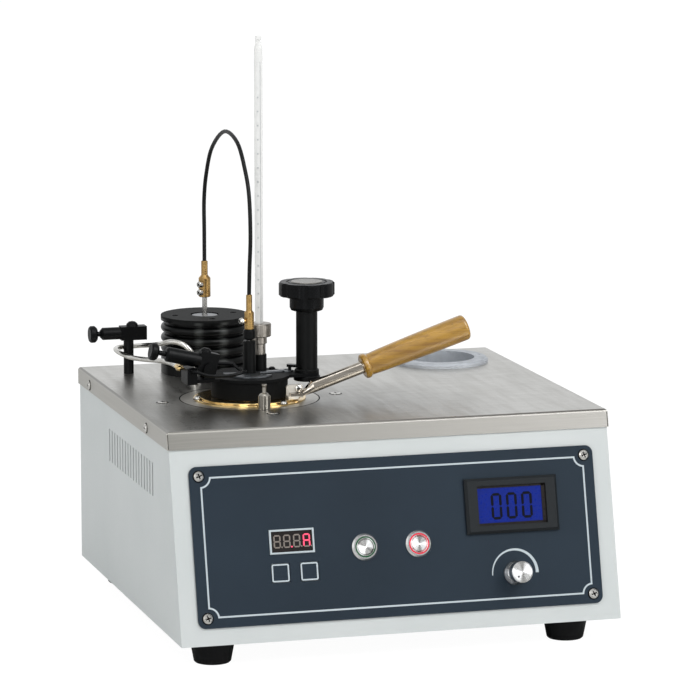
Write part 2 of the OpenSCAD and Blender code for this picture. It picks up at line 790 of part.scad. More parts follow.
// Brass coupling on an upright shaft: wide body, cone, thin neck and side screws
module shaft_coupling(r, neck_r, low, shoulder, top, shaft, bore) {
    difference() {
        rotate_extrude() polygon([[0, low], [r - 0.5, low], [r, low + 0.5], [r, shoulder - r + neck_r],
            [neck_r + 0.3, shoulder], [neck_r, shoulder + 0.4], [neck_r, top - 0.4],
            [neck_r - 0.4, top], [0, top]]);
        translate([0, 0, low - 1]) cylinder(r = shaft + slip / 2, h = 9);
        translate([0, 0, top - tip_l - gap]) cylinder(r = bore + run, h = tip_l + 2);
    }
}

// Round-headed clamp screw that stands out of a coupling's side
module clamp_screw(from, out, head) {
    rotate([0, 90, 0]) {
        translate([0, 0, from]) cylinder(r = head * 0.55, h = out - from);
        translate([0, 0, out - 0.1]) rotate_extrude() polygon([[0, 0], [head, 0], [head, 1.4],
            [head - 0.8, 2.4], [0, 2.4]]);
    }
}

module motor_coupling() {
    color("#c69a4b") on_top() translate([motor_x, motor_y, 0]) {
        shaft_coupling(4.8, 2.65, drive_z, drive_z + 17.5, drive_top, motor_shaft_r, tip_r);
        for (z = [4.2, 10.6]) translate([0, 0, drive_z + z]) rotate(218) clamp_screw(3.5, 5.4, 2.6);
    }
}

module gas_post() {
    bar_y = 5;
    block = [21, 2 * bar_y, 11];
    color("#141517") on_top() translate([post_x, post_y, 0]) difference() {
        union() {
            cylinder(r = post_r, h = post_h + 1);
            translate([-6.8, -bar_y, post_h]) cube(block);
            translate([-6.8, 0, post_h + 5.5]) rotate([0, -90, 0]) rotate_extrude()
                polygon([[0, -1], [5, -1], [5, 14.6], [2.9, 16.7], [0, 16.7]]);
            translate([3, 0, post_h + 10.9]) rotate_extrude() polygon([[0, 0], [5, 0], [4.4, 2],
                [2.6, 3.6], [0, 4.2]]);
        }
        translate([-6.8, 0, post_h + 5.5]) rotate([0, -90, 0]) cylinder(r = 2 + run, h = 30);
    }
}

// Needle valve's knob: its stem starts at the origin and it points along +Z
module valve_knob(stem, thick) {
    rotate_extrude() polygon([[0, 0], [2, 0], [2, stem], [valve_r - 1.8, stem],
        [valve_r - 0.3, stem + 1.4], [valve_r, stem + 2.2], [valve_r, stem + thick - 1.2],
        [valve_r - 1.2, stem + thick], [0, stem + thick - 0.3]]);
}

module post_valve_knob() {
    color("#17181a") on_top() translate([post_x - 14.8, post_y, post_h + 5.5])
        rotate([0, -90, 0]) valve_knob(11.4, 6.2);
}

// Union's place on the lid, from the top's front left corner
function union_place() = [stove_x + union_x, stove_y + union_y + union_l, union_z];

module gas_pipe() {
    end = union_place() + [0, gap, 0];
    route = concat(pipe_route, [end + [0, 16, -0.4], end + [0, 5, 0], end]);
    start = pipe_route[0];
    color("#c9c7c2") on_top() {
        tube(smooth(route, 4), pipe_r, 10, [1, 0, 0]);
        translate([start[0], start[1], 0]) difference() {
            rotate_extrude() polygon([[pipe_r + slip, 0], [4.4, 0], [4.4, 1.4], [3.4, 2.4],
                [pipe_r + slip, 2.4]]);
        }
    }
}

module gas_inlet() {
    color("#c69a4b") on_top() translate([nipple_x, back_y, nipple_z]) to_back() rotate_extrude()
        polygon([[1.6, -12], [nipple_r, -12], [nipple_r, 0], [6, 0], [6, 3], [hose_r, 3],
            [hose_r, nipple_l - 0.6], [hose_r - 0.6, nipple_l], [1.6, nipple_l]]);
}

module control_board() {
    color("#2f6b46") on_front(led_x - 14, led_s + led_h + 24) translate([0, 0, -22 - 1.6]) {
        difference() {
            cube([led_w + 28, led_h + 34, 1.6]);
            for (x = [4, led_w + 24], y = [4, led_h + 30]) translate([x, y, -1])
                cylinder(r = 1.6, h = 4);
        }
        for (k = [0:3]) translate([8 + k * 13, 8, -6]) cube([8, 12, 6.1]);
        translate([10, 30, -11]) cube([22, 16, 11.1]);
        for (x = [14, led_w + 14], y = [26, led_h + 20]) translate([x, y, 1.5])
            cylinder(r = 3, h = 22.1 - sheet - 1.5);
    }
}

module transformer() {
    low = -body_h + 2 * sheet;
    core_w = body_w * 0.19;
    core_d = body_d * 0.18;
    core_h = body_h * 0.28;
    color("#6d6a66") on_top() translate([body_w * 0.586, body_d * 0.317, low]) {
        cube([core_w, core_d, 3]);
        translate([8, 6, 2.9]) cube([core_w - 16, core_d - 12, core_h]);
        translate([14, 0, 9]) cube([core_w - 28, core_d, core_h * 0.7]);
    }
}

module cooling_fan() {
    y1 = back_y - sheet;
    color("#1b1c1e") on_top() translate([fan_cx, y1 - fan_t, fan_cz]) difference() {
        union() {
            difference() {
                translate([-fan_size / 2, 0, -fan_size / 2]) cube([fan_size, fan_t, fan_size]);
                translate([0, -1, 0]) to_back() cylinder(r = fan_size / 2 - 2.2, h = fan_t + 2);
            }
            for (a = [0:90:270]) rotate([0, a, 0]) translate([0, fan_t - 3, -1.5])
                cube([fan_size / 2 - 1, 3, 3]);
            translate([0, fan_t - 6, 0]) to_back() cylinder(r = 14, h = 6);
        }
        for (x = [-1, 1], z = [-1, 1]) translate([x * (fan_size / 2 - 4), -1, z * (fan_size / 2 - 4)])
            to_back() cylinder(r = 2, h = fan_t + 2);
        translate([0, 4, 0]) to_back() cylinder(r = 2 + run, h = fan_t - 5);
    }
}

module fan_rotor() {
    y1 = back_y - sheet;
    color("#1b1c1e") on_top() translate([fan_cx, y1 - fan_t, fan_cz]) {
        translate([0, 1, 0]) to_back() cylinder(r = 15, h = fan_t - 8);
        translate([0, 2, 0]) to_back() cylinder(r = 2, h = fan_t - 5);
        for (k = [0:6]) rotate([0, k * 360 / 7, 0]) translate([13.5, 9, 0]) rotate([38, 0, 0])
            translate([0, -8, -0.8]) cube([fan_size / 2 - 17.5, 16, 1.6]);
    }
}

module power_inlet() {
    color("#1b1c1e") on_top() translate([inlet_x, back_y, inlet_z]) difference() {
        union() {
            translate([-inlet_w / 2 - 8, 0, -inlet_h / 2 - 3])
                cube([inlet_w + 16, 3 + inset, inlet_h + 6]);
            translate([-inlet_w / 2, -22, -inlet_h / 2]) cube([inlet_w, 22.1, inlet_h]);
        }
        difference() {
            translate([-inlet_w / 2 + 1.5, -14, -inlet_h / 2 + 1.5])
                cube([inlet_w - 3, 30, inlet_h - 3]);
            for (p = [[-7, -1.5], [0, 2.5], [7, -1.5]]) translate([p[0] - 1, -15, p[1] - 2.5])
                cube([2, 12, 5]);
        }
        for (x = [-1, 1]) translate([x * (inlet_w / 2 + 5), -1, 0]) to_back() cylinder(r = 1.6, h = 8);
    }
}

module cup() {
    color("#c69a4b") on_stove() rotate_extrude() polygon([[0, cup_low], [cup_out - 1, cup_low],
        [cup_out, cup_low + 1], [cup_out, 0], [flange_r, 0], [flange_r, flange_t - 0.4],
        [flange_r - 0.4, flange_t], [cup_out, flange_t], [cup_out, cup_rim], [cup_r, cup_rim],
        [cup_r, cup_low + cup_floor], [0, cup_low + cup_floor]]);
}

// Angle bracket on the flange that carries the handle's tongue
module cup_bracket() {
    back = grip_y + 3.3;
    wide = 13.4;
    tall = 10.3;
    color("#c5c3be") on_stove() translate([grip_x - 9, back, flange_t]) difference() {
        union() {
            rearward(0, 2.2) {
                square([wide, tall - 2]);
                translate([2, 0]) square([wide - 4, tall]);
                for (x = [2, wide - 2]) translate([x, tall - 2]) circle(2);
            }
            translate([0, -6.5, 0]) cube([wide - 5.4, 6.6, grip_t]);
        }
        translate([wide - 3.1, -1, 7.3]) to_back() cylinder(r = 1.9, h = 5);
    }
}

module handle_axis() {
    on_stove() translate([grip_x, grip_y, flange_t + grip_t + 2.8]) rotate([0, 90 - handle_rise, 0])
        children();
}

// Steel rod, beaten flat at its tip into the tongue that the bracket carries
module cup_rod() {
    tongue_z = flange_t + grip_t;
    color("#b8b5ae") union() {
        on_stove() translate([grip_x - 7, grip_y - 3, tongue_z]) cube([10, 5.8, grip_t]);
        hull() {
            on_stove() translate([grip_x + 2.5, grip_y - 3, tongue_z]) cube([0.4, 5.8, grip_t]);
            handle_axis() translate([0, 0, 12]) cylinder(r = rod_r, h = 0.5, $fn = 32);
        }
        handle_axis() translate([0, 0, 12]) cylinder(r = rod_r, h = rod_l + 16, $fn = 32);
    }
}

module cup_handle() {
    bead = wood_r - 0.2;
    color("#b8863b") handle_axis() translate([0, 0, rod_l]) difference() {
        rotate_extrude() polygon(concat([[0, 0], [bead - 1.6, 0], [bead - 0.3, 0.8], [bead, 2.4],
            [bead - 0.3, 4], [bead - 1.5, 5.4]],
            [for (i = [1:8]) [wood_r - 1.4 + 1.4 * sin(90 * i / 8), 5.4 + (wood_l - 8) * i / 8]],
            [for (a = [20:20:80]) [wood_r - 2.6 + 2.6 * cos(a), wood_l - 2.6 + 2.6 * sin(a)]],
            [[wood_r - 2.6, wood_l], [0, wood_l]]));
        translate([0, 0, -1]) cylinder(r = rod_r + run, h = 30);
    }
}

module lid() {
    color("#17181a") on_stove() difference() {
        rotate_extrude() polygon([[cup_out + gap, flange_t + gap], [lid_r, flange_t + gap],
            [lid_r, lid_top - 0.5], [lid_r - 0.5, lid_top], [0, lid_top], [0, cup_rim],
            [cup_out + gap, cup_rim]]);
        lid_holes(cup_rim - 1, lid_t + 2);
    }
}

// Ports, stirrer hole and thermometer hole through the lid
module lid_holes(z, h) {
    for (a = port_a) rotate(a) translate([port_at, 0, z]) cylinder(r = port_r, h = h);
    translate([0, 0, z]) cylinder(r = shaft_r + 0.6, h = h);
    translate([thermo_x, thermo_y, z]) cylinder(r = stem_r + gap, h = h);
}

module carrier_plate() {
    ear_y = block_w / 2 + 0.4;
    reach = feed_x + feed_w / 2;
    color("#17181a") on_stove() difference() {
        union() {
            translate([0, 0, lid_top]) linear_extrude(carrier_t) {
                circle(lid_r + 1.5);
                translate([0, column_y - foot_flange]) square([column_x, 2 * foot_flange]);
                translate([column_x, column_y]) circle(foot_flange);
                translate([reach, block_y - lobe_l / 2]) square([-reach, lobe_l]);
            }
            for (s = [-1, 1]) translate([block_x, block_y + s * (ear_y + ear_t / 2), 0]) {
                translate([-4.2, -ear_t / 2, lid_top + 0.5]) cube([8.4, ear_t, pivot_z - lid_top - 0.5]);
                translate([0, -ear_t / 2, pivot_z]) to_back() cylinder(r = 4.2, h = ear_t);
            }
        }
        lid_holes(lid_top - 1, carrier_t + 2);
        translate([column_x, column_y, 0]) cylinder(r = 6 + slip, h = 60);
        translate([block_x, block_y - 20, pivot_z]) to_back() cylinder(r = pivot_r + run, h = 40);
    }
}

// Shutter column: flanged tube with a side window for the crank, and its nut
module column() {
    color("#17181a") on_stove() translate([column_x, column_y, 0]) {
        difference() {
            rotate_extrude() polygon([[column_bore + run, lid_top - 4], [6, lid_top - 4], [6, deck],
                [foot_flange, deck], [foot_flange, deck + foot_flange_t - 0.6],
                [foot_flange - 0.6, deck + foot_flange_t], [column_r, deck + foot_flange_t],
                [column_r, star_z - gap], [column_bore + run, star_z - gap]]);
            rotate(crank_mid) translate([0, -6.4, crank_z - 0.4]) cube([20, 12.8, crank_t + 0.8]);
        }
        translate([0, 0, lid_top - 4]) difference() {
            chamfered(foot_flange + 0.8, 4 - 0.01, 0.6);
            translate([0, 0, -1]) cylinder(r = 6 + slip, h = 6);
        }
    }
}

// Disc whose lower and upper edges are cut back
module chamfered(r, h, c) {
    rotate_extrude() polygon([[0, 0], [r - c, 0], [r, c], [r, h - c], [r - c, h], [0, h]]);
}

star_z = deck + column_h;
star_hub_r = 13.4;
star_hub_h = 11.9;
star_t = 11;

// Star knob with its spindle, and the crank at the spindle's foot that drives the shutter
module star_knob() {
    turn = crank_mid - crank_swing / 2;
    color("#17181a") on_stove() translate([column_x, column_y, 0]) {
        translate([0, 0, star_z]) {
            rotate_extrude() polygon([[0, 0], [star_hub_r - 3.4, 0], [star_hub_r - 1, 0.8],
                [star_hub_r, 3], [star_hub_r, star_hub_h + 0.1], [0, star_hub_h + 0.1]]);
            translate([0, 0, star_hub_h]) difference() {
                chamfered(star_r, star_t, 1);
                for (k = [0:star_lobes - 1]) rotate((k + 0.5) * 360 / star_lobes)
                    translate([star_r + 3.4, 0, -1]) cylinder(r = 5.4, h = star_t + 2);
                translate([0, 0, star_t - 0.5]) difference() {
                    cylinder(r = 16, h = 2);
                    translate([0, 0, -1]) cylinder(r = 14.6, h = 4);
                }
            }
        }
        translate([0, 0, deck + gap]) cylinder(r = column_bore, h = star_z - deck - gap + 0.1);
        rotate(turn) {
            translate([0, -2.5, crank_z]) cube([crank_r, 5, crank_t]);
            translate([crank_r, 0, crank_z]) cylinder(r = 2.5, h = crank_t);
            translate([crank_r, 0, deck + gap]) cylinder(r = crank_pin, h = crank_z - deck);
        }
    }
}

// Sliding shutter: hub, ported sector and the fork that the crank's pin turns
module shutter() {
    fork_a = shutter_swing / 2 + atan2(column_y, column_x);
    r_out = port_at + port_r + 2.1;
    fork_out = column_d - foot_flange - gap - 0.3;
    low_a = min(port_a) - 16;
    high_a = max(port_a) + shutter_swing + 16;
    color("#6d7073") on_stove() translate([0, 0, shutter_z]) difference() {
        union() {
            cylinder(r = bearing_r + gap + 3.2, h = shutter_t);
            intersection() {
                cylinder(r = r_out, h = shutter_t);
                linear_extrude(shutter_t) polygon(concat([[0, 0]],
                    [for (i = [0:8]) let (a = low_a + (high_a - low_a) * i / 8)
                    2 * r_out * [cos(a), sin(a)]]));
            }
            rotate(fork_a) translate([0, -2, 0]) cube([fork_out - 3, 4, shutter_t]);
            rotate(fork_a) translate([fork_out - 7.6, -4.2, 0]) cube([7.6, 8.4, shutter_t]);
        }
        translate([0, 0, -1]) cylinder(r = bearing_r + gap, h = 4);
        for (a = port_a) rotate(a + shutter_swing) translate([port_at, 0, -1]) cylinder(r = port_r, h = 4);
        rotate(fork_a) translate([fork_out - 6, -crank_pin - 0.6, -1])
            cube([10, 2 * crank_pin + 1.2, 4]);
    }
}

module stirrer_bearing() {
    color("#141517") on_stove() translate([0, 0, deck]) difference() {
        chamfered(bearing_r, bearing_h, 0.5);
        translate([0, 0, -1]) cylinder(r = shaft_r + run, h = bearing_h + 2);
    }
}

// Four slanted blades round the shaft
module propeller(r, h) {
    cylinder(r = 2.6, h = h);
    for (k = [0:3]) rotate(90 * k) translate([1.5, 0, h / 2]) rotate([40, 0, 0])
        translate([0, -h / 2, -0.5]) cube([r - 1.5, h, 1]);
}

module stirrer_shaft() {
    low = cup_low + cup_floor + 3.5;
    color("#a9abad") on_stove() {
        translate([0, 0, low]) cylinder(r = shaft_r, h = hub_mid + 7 - low);
        translate([0, 0, low]) propeller(blade_r, 5.5);
        translate([0, 0, low + 34]) propeller(blade_r - 6, 4.5);
    }
}

// Brass coupling over the black driving collar
module stirrer_hub() {
    color("#c69a4b") on_stove() {
        shaft_coupling(3.8, 2.4, hub_mid, hub_top, hub_tip, shaft_r, tip_r);
        translate([0, 0, hub_mid + 7]) rotate(196) clamp_screw(3, 6.2, 2.5);
        difference() {
            rotate_extrude() polygon([[0, hub_low - 0.8], [2.3, hub_low - 0.8],
                [2.3, hub_low - 0.4], [3.8, hub_low], [4.6, hub_low + 0.8], [4.6, hub_mid - 1],
                [4, hub_mid - slip], [0, hub_mid - slip]]);
            translate([0, 0, hub_low - 4]) cylinder(r = shaft_r + slip / 2, h = 20);
        }
    }
}

module thermometer_socket() {
    color("#141517") on_stove() translate([thermo_x, thermo_y, deck]) difference() {
        chamfered(ferrule_r + 0.8, socket_h, 0.3);
        translate([0, 0, -1]) cylinder(r = ferrule_r + run, h = socket_h + 2);
    }
}

// Steel ferrule: a thin tube in the socket, a lip and the knurled cap
module thermometer_ferrule() {
    seat = deck + gap;
    cap = deck + ferrule_cap;
    color("#aeaba6") on_stove() translate([thermo_x, thermo_y, 0]) difference() {
        rotate_extrude() polygon([[0, seat], [ferrule_r, seat], [ferrule_r, cap - 6],
            [ferrule_r + 1.2, cap - 5.4], [ferrule_r + 0.9, cap], [ferrule_cap_r - 0.6, cap],
            [ferrule_cap_r, cap + 0.6], [ferrule_cap_r, cap + 9.8], [ferrule_cap_r - 0.5, cap + 10.3],
            [0, cap + 10.3]]);
        translate([0, 0, seat - 1]) cylinder(r = stem_r + run, h = 60);
        translate([0, 0, cap]) cylinder(r = thermo_r + run, h = 20);
        for (k = [0:35]) rotate(k * 10) translate([ferrule_cap_r + 0.15, 0, cap + 1])
            cylinder(r = 0.3, h = 8.4, $fn = 4);
    }
}

module thermometer() {
    top = deck + thermo_h;
    shoulder = deck + ferrule_cap;
    color("#dfe5e6") on_stove() translate([thermo_x, thermo_y, 0]) rotate_extrude()
        polygon([[0, bulb_low], [1.6, bulb_low + 0.5], [stem_r - 0.2, bulb_low + 2.2],
            [stem_r - 0.2, bulb_low + 14], [stem_r - 0.8, bulb_low + 15.5], [stem_r, bulb_low + 17],
            [stem_r, shoulder], [thermo_r, shoulder], [thermo_r, top - 10], [thermo_r - 0.4, top - 8.2],
            [2.1, top - 6], [1.6, top - 4.6], [1.6, top - 3.6], [2.4, top - 2.9], [2.6, top - 1.6],
            [2.3, top - 0.4], [1.6, top], [0, top]]);
}

// Block at the lid's side that takes the gas in from the union
module gas_block() {
    color("#1b1c1e") on_stove() translate([feed_x - feed_w / 2, feed_y - feed_l / 2, feed_low])
        difference() {
            cube([feed_w, feed_l, feed_h]);
            translate([feed_w / 2, feed_l / 2, -1]) cylinder(r = 1.6, h = 5);
            translate([feed_w / 2, -1, deck + 7 - feed_low]) to_back()
                cylinder(r = pilot_r + 2 * slip, h = 3.5);
        }
}

module gas_union() {
    elbow_r = 2.2;
    color("#c69a4b") on_stove() translate([union_x, union_y, union_z]) difference() {
        union() {
            to_back() cylinder(r = union_r, h = union_l - 1.2, $fn = 6);
            to_back() cylinder(r = union_r - 0.8, h = union_l);
            translate([0, -elbow_r, 0]) to_back() cylinder(r = elbow_r, h = elbow_r + 0.1);
            translate([0, -elbow_r, 0]) sphere(elbow_r);
            translate([0, -elbow_r, 0]) rotate([0, 90, 0]) cylinder(r = elbow_r - 0.6, h = union_r + slip);
        }
        translate([0, 1.5, 0]) to_back() cylinder(r = 1, h = union_l);
    }
}

// Pilot tube: leaves the gas block, dips over the plate and ends by the front port
module pilot_tube() {
    y = feed_y - feed_l / 2;
    start = [feed_x, y, deck + 7];
    route = [start + [0, 2, 0], start, start + [0, -2.5, 0.6], [feed_x + 3, y - 5.4, deck + 7.2],
        [feed_x + 12, y - 6.6, deck + 4.6], [feed_x + 24, y - 6.4, deck + 3.8],
        [-18, -24, deck + 4.4], [-11.5, -22.5, deck + 5.4], [-8, -18.5, deck + 5.6]];
    color("#26272a") on_stove() tube(smooth(route, 3), pilot_r, 8, [0, 0, 1]);
}

// Igniter valve: block, barrel, nozzle and the pin that it tilts on
module igniter() {
    tip = [cos(port_a[1]) * port_at, sin(port_a[1]) * port_at, deck + 5.3];
    knee = [-15.5, block_y - 1, deck + 10.2];
    root = [block_x + block_l / 2, block_y, block_z - 1.6];
    color("#17181a") on_stove() {
        difference() {
            union() {
                translate([block_x, block_y, block_z]) rotate([0, tilt, 0]) {
                    translate([-block_l / 2, -block_w / 2, -block_h / 2])
                        cube([block_l, block_w, block_h]);
                    rotate([0, -90, 0]) rotate_extrude() polygon([[0, block_l / 2 - 1],
                        [barrel_r, block_l / 2 - 1], [barrel_r, block_l / 2 + barrel_l - 1.6],
                        [barrel_r - 1.6, block_l / 2 + barrel_l], [0, block_l / 2 + barrel_l]]);
                    translate([-3, 0, block_h / 2 - 0.1]) rotate_extrude() polygon([[0, 0], [4.4, 0],
                        [3.9, 1.6], [2.4, 2.8], [0, 3.2]]);
                }
                translate([block_x, block_y - block_w / 2 - 0.4 - ear_t, pivot_z]) to_back()
                    cylinder(r = pivot_r, h = block_w + 0.8 + 2 * ear_t);
                rod_between(root - [2, 0, -0.4], knee, 1.5);
                rod_between(knee, tip, 1.2);
            }
            translate([block_x, block_y, block_z]) rotate([0, tilt - 90, 0])
                translate([0, 0, block_l / 2 + barrel_l - 12]) cylinder(r = 2 + run, h = 20);
        }
    }
}

// Round rod with ball ends from a to b
module rod_between(a, b, r) {
    d = b - a;
    l = norm(d);
    translate(a) rotate([0, acos(d[2] / l), atan2(d[1], d[0])]) {
        cylinder(r = r, h = l, $fn = 24);
        sphere(r = r, $fn = 24);
        translate([0, 0, l]) sphere(r = r, $fn = 24);
    }
}

module igniter_knob() {
    color("#17181a") on_stove() translate([block_x, block_y, block_z]) rotate([0, tilt - 90, 0])
        translate([0, 0, block_l / 2 + barrel_l - 10]) valve_knob(16.2, 6.2);
}

// Flexible shaft's point at a share f of the way from the motor to the stirrer
function arch_point(f, z) = [motor_x + (stove_x - motor_x) * f, motor_y + (stove_y - motor_y) * f, z];

module drive_cable() {
    a = [motor_x, motor_y, drive_top];
    b = [stove_x, stove_y, hub_tip];
    route = concat([a + [0, 0, gap]], [for (p = arch_route) arch_point(p[0], p[1])], [b + [0, 0, gap]]);
    color("#141517") on_top() {
        tube(smooth(route, 4), cable_r, 8, [1, 0, 0]);
        for (p = [a, b]) translate(p + [0, 0, gap - tip_l]) cylinder(r = tip_r, h = tip_l);
    }
}

cabinet();
top_cover();
base_plate();
rear_panel();
feet();
front_panel();
panel_screws();
cover_screws();
led_display();
voltmeter();
meter_lcd();
method_key();
start_key();
button_bodies();
fan_ring();
power_ring();
fan_button();
power_button();
heating_regulator();
heating_knob();
stove();
stove_plate();
seat_ring();
heater_band();
stove_can();
locating_post();
cooling_well();
motor_housing();
motor_shaft();
motor_coupling();
gas_post();
post_valve_knob();
gas_pipe();
gas_inlet();
control_board();
transformer();
cooling_fan();
fan_rotor();
power_inlet();
cup();
cup_bracket();
cup_rod();
cup_handle();
lid();
carrier_plate();
column();
star_knob();
shutter();
stirrer_bearing();
stirrer_shaft();
stirrer_hub();
thermometer_socket();
thermometer_ferrule();
thermometer();
gas_block();
gas_union();
pilot_tube();
igniter();
igniter_knob();
drive_cable();
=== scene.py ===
# %% [markdown]
# # Closed-cup flash point tester
# The solids of the tester come from its CAD model, and stay where they are. This lesson
# gives each of them the finish of the real piece, and adds the small things that a solid
# model leaves out: digits, printed lines, fasteners, the glass tube's scale.

# %% Load the solids
import math
import bmesh
import bpy
from mathutils import Matrix, Vector


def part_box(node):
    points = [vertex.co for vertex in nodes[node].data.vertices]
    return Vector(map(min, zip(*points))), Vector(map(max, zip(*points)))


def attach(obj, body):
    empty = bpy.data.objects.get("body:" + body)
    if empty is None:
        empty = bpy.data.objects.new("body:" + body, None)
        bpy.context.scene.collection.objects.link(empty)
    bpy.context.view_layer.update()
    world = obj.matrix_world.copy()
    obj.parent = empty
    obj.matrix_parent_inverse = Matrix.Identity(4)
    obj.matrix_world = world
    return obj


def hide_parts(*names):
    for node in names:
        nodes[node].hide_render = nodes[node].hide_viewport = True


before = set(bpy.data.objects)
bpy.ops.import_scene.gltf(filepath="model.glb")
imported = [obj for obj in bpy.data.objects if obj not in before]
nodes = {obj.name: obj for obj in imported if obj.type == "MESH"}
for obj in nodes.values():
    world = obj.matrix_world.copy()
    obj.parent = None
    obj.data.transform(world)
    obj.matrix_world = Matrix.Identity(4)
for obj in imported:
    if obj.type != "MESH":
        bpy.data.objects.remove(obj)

put_in_scene = bpy.context.scene.collection.objects.link

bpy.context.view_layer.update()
print("solids:", len(nodes))

# %% [markdown]
# ## Where things are
# The tester is measured from the front left corner of its stainless top, in millimetres,
# as its maker would. Three small helpers turn such a place into the model's own metres: one
# for the top, one for the stove's axis, and one for the front, which leans back from its
# foot. Two more give a move and a turn as a matrix, so that places can be chained.

# %% Places on the tester
MM = 0.001
TOP_WIDTH = 350
TOP_DEPTH = 300
LEAN = math.radians(14.26)
SHEET_STEP = 1.2
STOVE = Vector((97, 122, 0))
MOTOR = Vector((94.3, 251.4, 0))
MOTOR_FACE = 45.4

top_low, top_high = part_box("top_cover")
corner = Vector((top_low.x, top_high.y - TOP_DEPTH * MM, top_high.z))


def on_top(x, y, z=0):
    """The point x from the left edge, y from the front edge and z above the top."""
    return corner + Vector((x, y, z)) * MM


def on_stove(x, y, z=0):
    """The point x, y from the stove's axis and z above the top."""
    return on_top(STOVE.x + x, STOVE.y + y, z)


def shifted(x, y, z=0):
    """A move by distances in millimetres."""
    return Matrix.Translation(Vector((x, y, z)) * MM)


def turned(angle):
    """A turn round +Z by an angle in degrees."""
    return Matrix.Rotation(math.radians(angle), 4, "Z")


def front_place(x, slope, out=0):
    """The frame at x from the left and a slope distance below the top's edge, +Z outwards."""
    start = Matrix.Translation(on_top(0, SHEET_STEP))
    return start @ Matrix.Rotation(math.pi / 2 - LEAN, 4, "X") @ shifted(x, -slope, out)


print("stove axis at", [round(v, 4) for v in on_stove(0, 0)])

# %% [markdown]
# ## The camera
# The photograph was taken from the left and a little above, from about three metres off.
# A long lens at that distance gives its nearly parallel edges.

# %% Camera
CAMERA_FROM = on_top(-748.2, -3052.6, 593.6)
CAMERA_LOOKS = Vector((0.2764, 0.9465, -0.1668))
LENS = 219.56
SENSOR_WIDTH = 36
SEES_AS_FAR_AS = 50

camera_data = bpy.data.cameras.new("camera")
camera_data.lens = LENS
camera_data.sensor_width = SENSOR_WIDTH
camera_data.clip_end = SEES_AS_FAR_AS
camera = bpy.data.objects.new("camera", camera_data)
camera.location = CAMERA_FROM
camera.rotation_euler = CAMERA_LOOKS.to_track_quat("-Z", "Y").to_euler()
put_in_scene(camera)
bpy.context.scene.camera = camera
print("camera at", [round(v, 3) for v in camera.location])

# %% [markdown]
# ## Shader maths as Python
# A finish is a small graph of nodes. Writing it as `1 - spots * 0.3` is easier to read than
# wiring boxes, so one class stands for a socket, and each operator adds a Math node.


# %% Readings
def operator(operation, reflected=False):
    """A method that adds one Math node. Reflected, its own value comes last: 1 - mask."""
    def method(self, *others):
        values = (*others, self) if reflected else (self, *others)
        return self.graph.node("ShaderNodeMath", {"operation": operation},
                               dict(enumerate(values)))
    return method


class Reading:
    """A value that changes over a surface, such as a noise or a coordinate."""

    def __init__(self, graph, socket):
        self.graph = graph
        self.socket = socket

    __add__ = __radd__ = operator("ADD")
    __mul__ = __rmul__ = operator("MULTIPLY")
    __sub__ = operator("SUBTRACT")
    __rsub__ = operator("SUBTRACT", reflected=True)
    __truediv__ = operator("DIVIDE")
    __pow__ = operator("POWER")
    __gt__ = operator("GREATER_THAN")
    __lt__ = operator("LESS_THAN")
    absolute = operator("ABSOLUTE")
    sine = operator("SINE")
    arctan2 = operator("ARCTAN2")
    maximum = operator("MAXIMUM")

    def clamped(self, low, high, new_low=0, new_high=1, curve="LINEAR"):
        values = {"Value": self, "From Min": low, "From Max": high,
                  "To Min": new_low, "To Max": new_high}
        return self.graph.node("ShaderNodeMapRange", {"clamp": True, "interpolation_type": curve},
                               values)


# %% [markdown]
# A graph adds every other node with one method. A material has such a graph, and so has
# the world that lights the scene.


# %% Graphs
class Graph:
    """A tree of nodes."""

    def __init__(self, tree):
        self.tree = tree

    def node(self, kind, settings=None, inputs=None, output=0):
        made = self.tree.nodes.new(kind)
        for key, value in (settings or {}).items():
            setattr(made, key, value)
        for key, value in (inputs or {}).items():
            if isinstance(value, Reading):
                self.tree.links.new(value.socket, made.inputs[key])
            else:
                made.inputs[key].default_value = value
        return Reading(self, made.outputs[output])

    def axes(self, vector):
        return [self.node("ShaderNodeSeparateXYZ", None, {"Vector": vector}, output=key)
                for key in "XYZ"]

    def seen(self):
        """1 where the camera looks, directly or through glass."""
        eye, through = (self.node("ShaderNodeLightPath", output=key)
                        for key in ("Is Camera Ray", "Is Transmission Ray"))
        return eye.maximum(through)

    def show(self, shader, output):
        self.tree.links.new(shader.socket, self.tree.nodes[output].inputs["Surface"])


# %% [markdown]
# A finish is a graph with a shader. What is the same all over a surface is set on the
# shader when the finish is made, and what varies is fed to it afterwards.


# %% Finishes
class Finish(Graph):
    """One material: a principled shader with constants, and readings for what varies."""

    def __init__(self, name, **constants):
        self.material = bpy.data.materials.new(name)
        self.material.use_nodes = True
        super().__init__(self.material.node_tree)
        self.shader = self.tree.nodes["Principled BSDF"]
        self.feed(**constants)

    def feed(self, **readings):
        for key, value in readings.items():
            socket = self.shader.inputs[key.replace("_", " ")]
            if isinstance(value, Reading):
                self.tree.links.new(value.socket, socket)
            else:
                socket.default_value = value
        return self

    def place(self, scale=(1, 1, 1), turn=(0, 0, 0), shift=(0, 0, 0)):
        return self.node("ShaderNodeMapping", {"vector_type": "POINT"}, {
            "Vector": self.here(), "Scale": scale, "Rotation": turn, "Location": shift})

    def noise(self, scale, detail=3, rough=0.5, stretch=(1, 1, 1), turn=(0, 0, 0)):
        return self.node("ShaderNodeTexNoise", {"normalize": True}, {
            "Vector": self.place(stretch, turn), "Scale": scale, "Detail": detail,
            "Roughness": rough})

    def mix(self, share, first, second):
        return self.node("ShaderNodeMix", {"data_type": "RGBA"}, {0: share, 6: first, 7: second},
                         output=2)

    def bump(self, height, strength, distance=0.0003):
        return self.node("ShaderNodeBump", None, {
            "Height": height, "Strength": strength, "Distance": distance})

    def here(self):
        """The point of the surface, in the model's own metres."""
        return self.node("ShaderNodeTexCoord", output="Object")


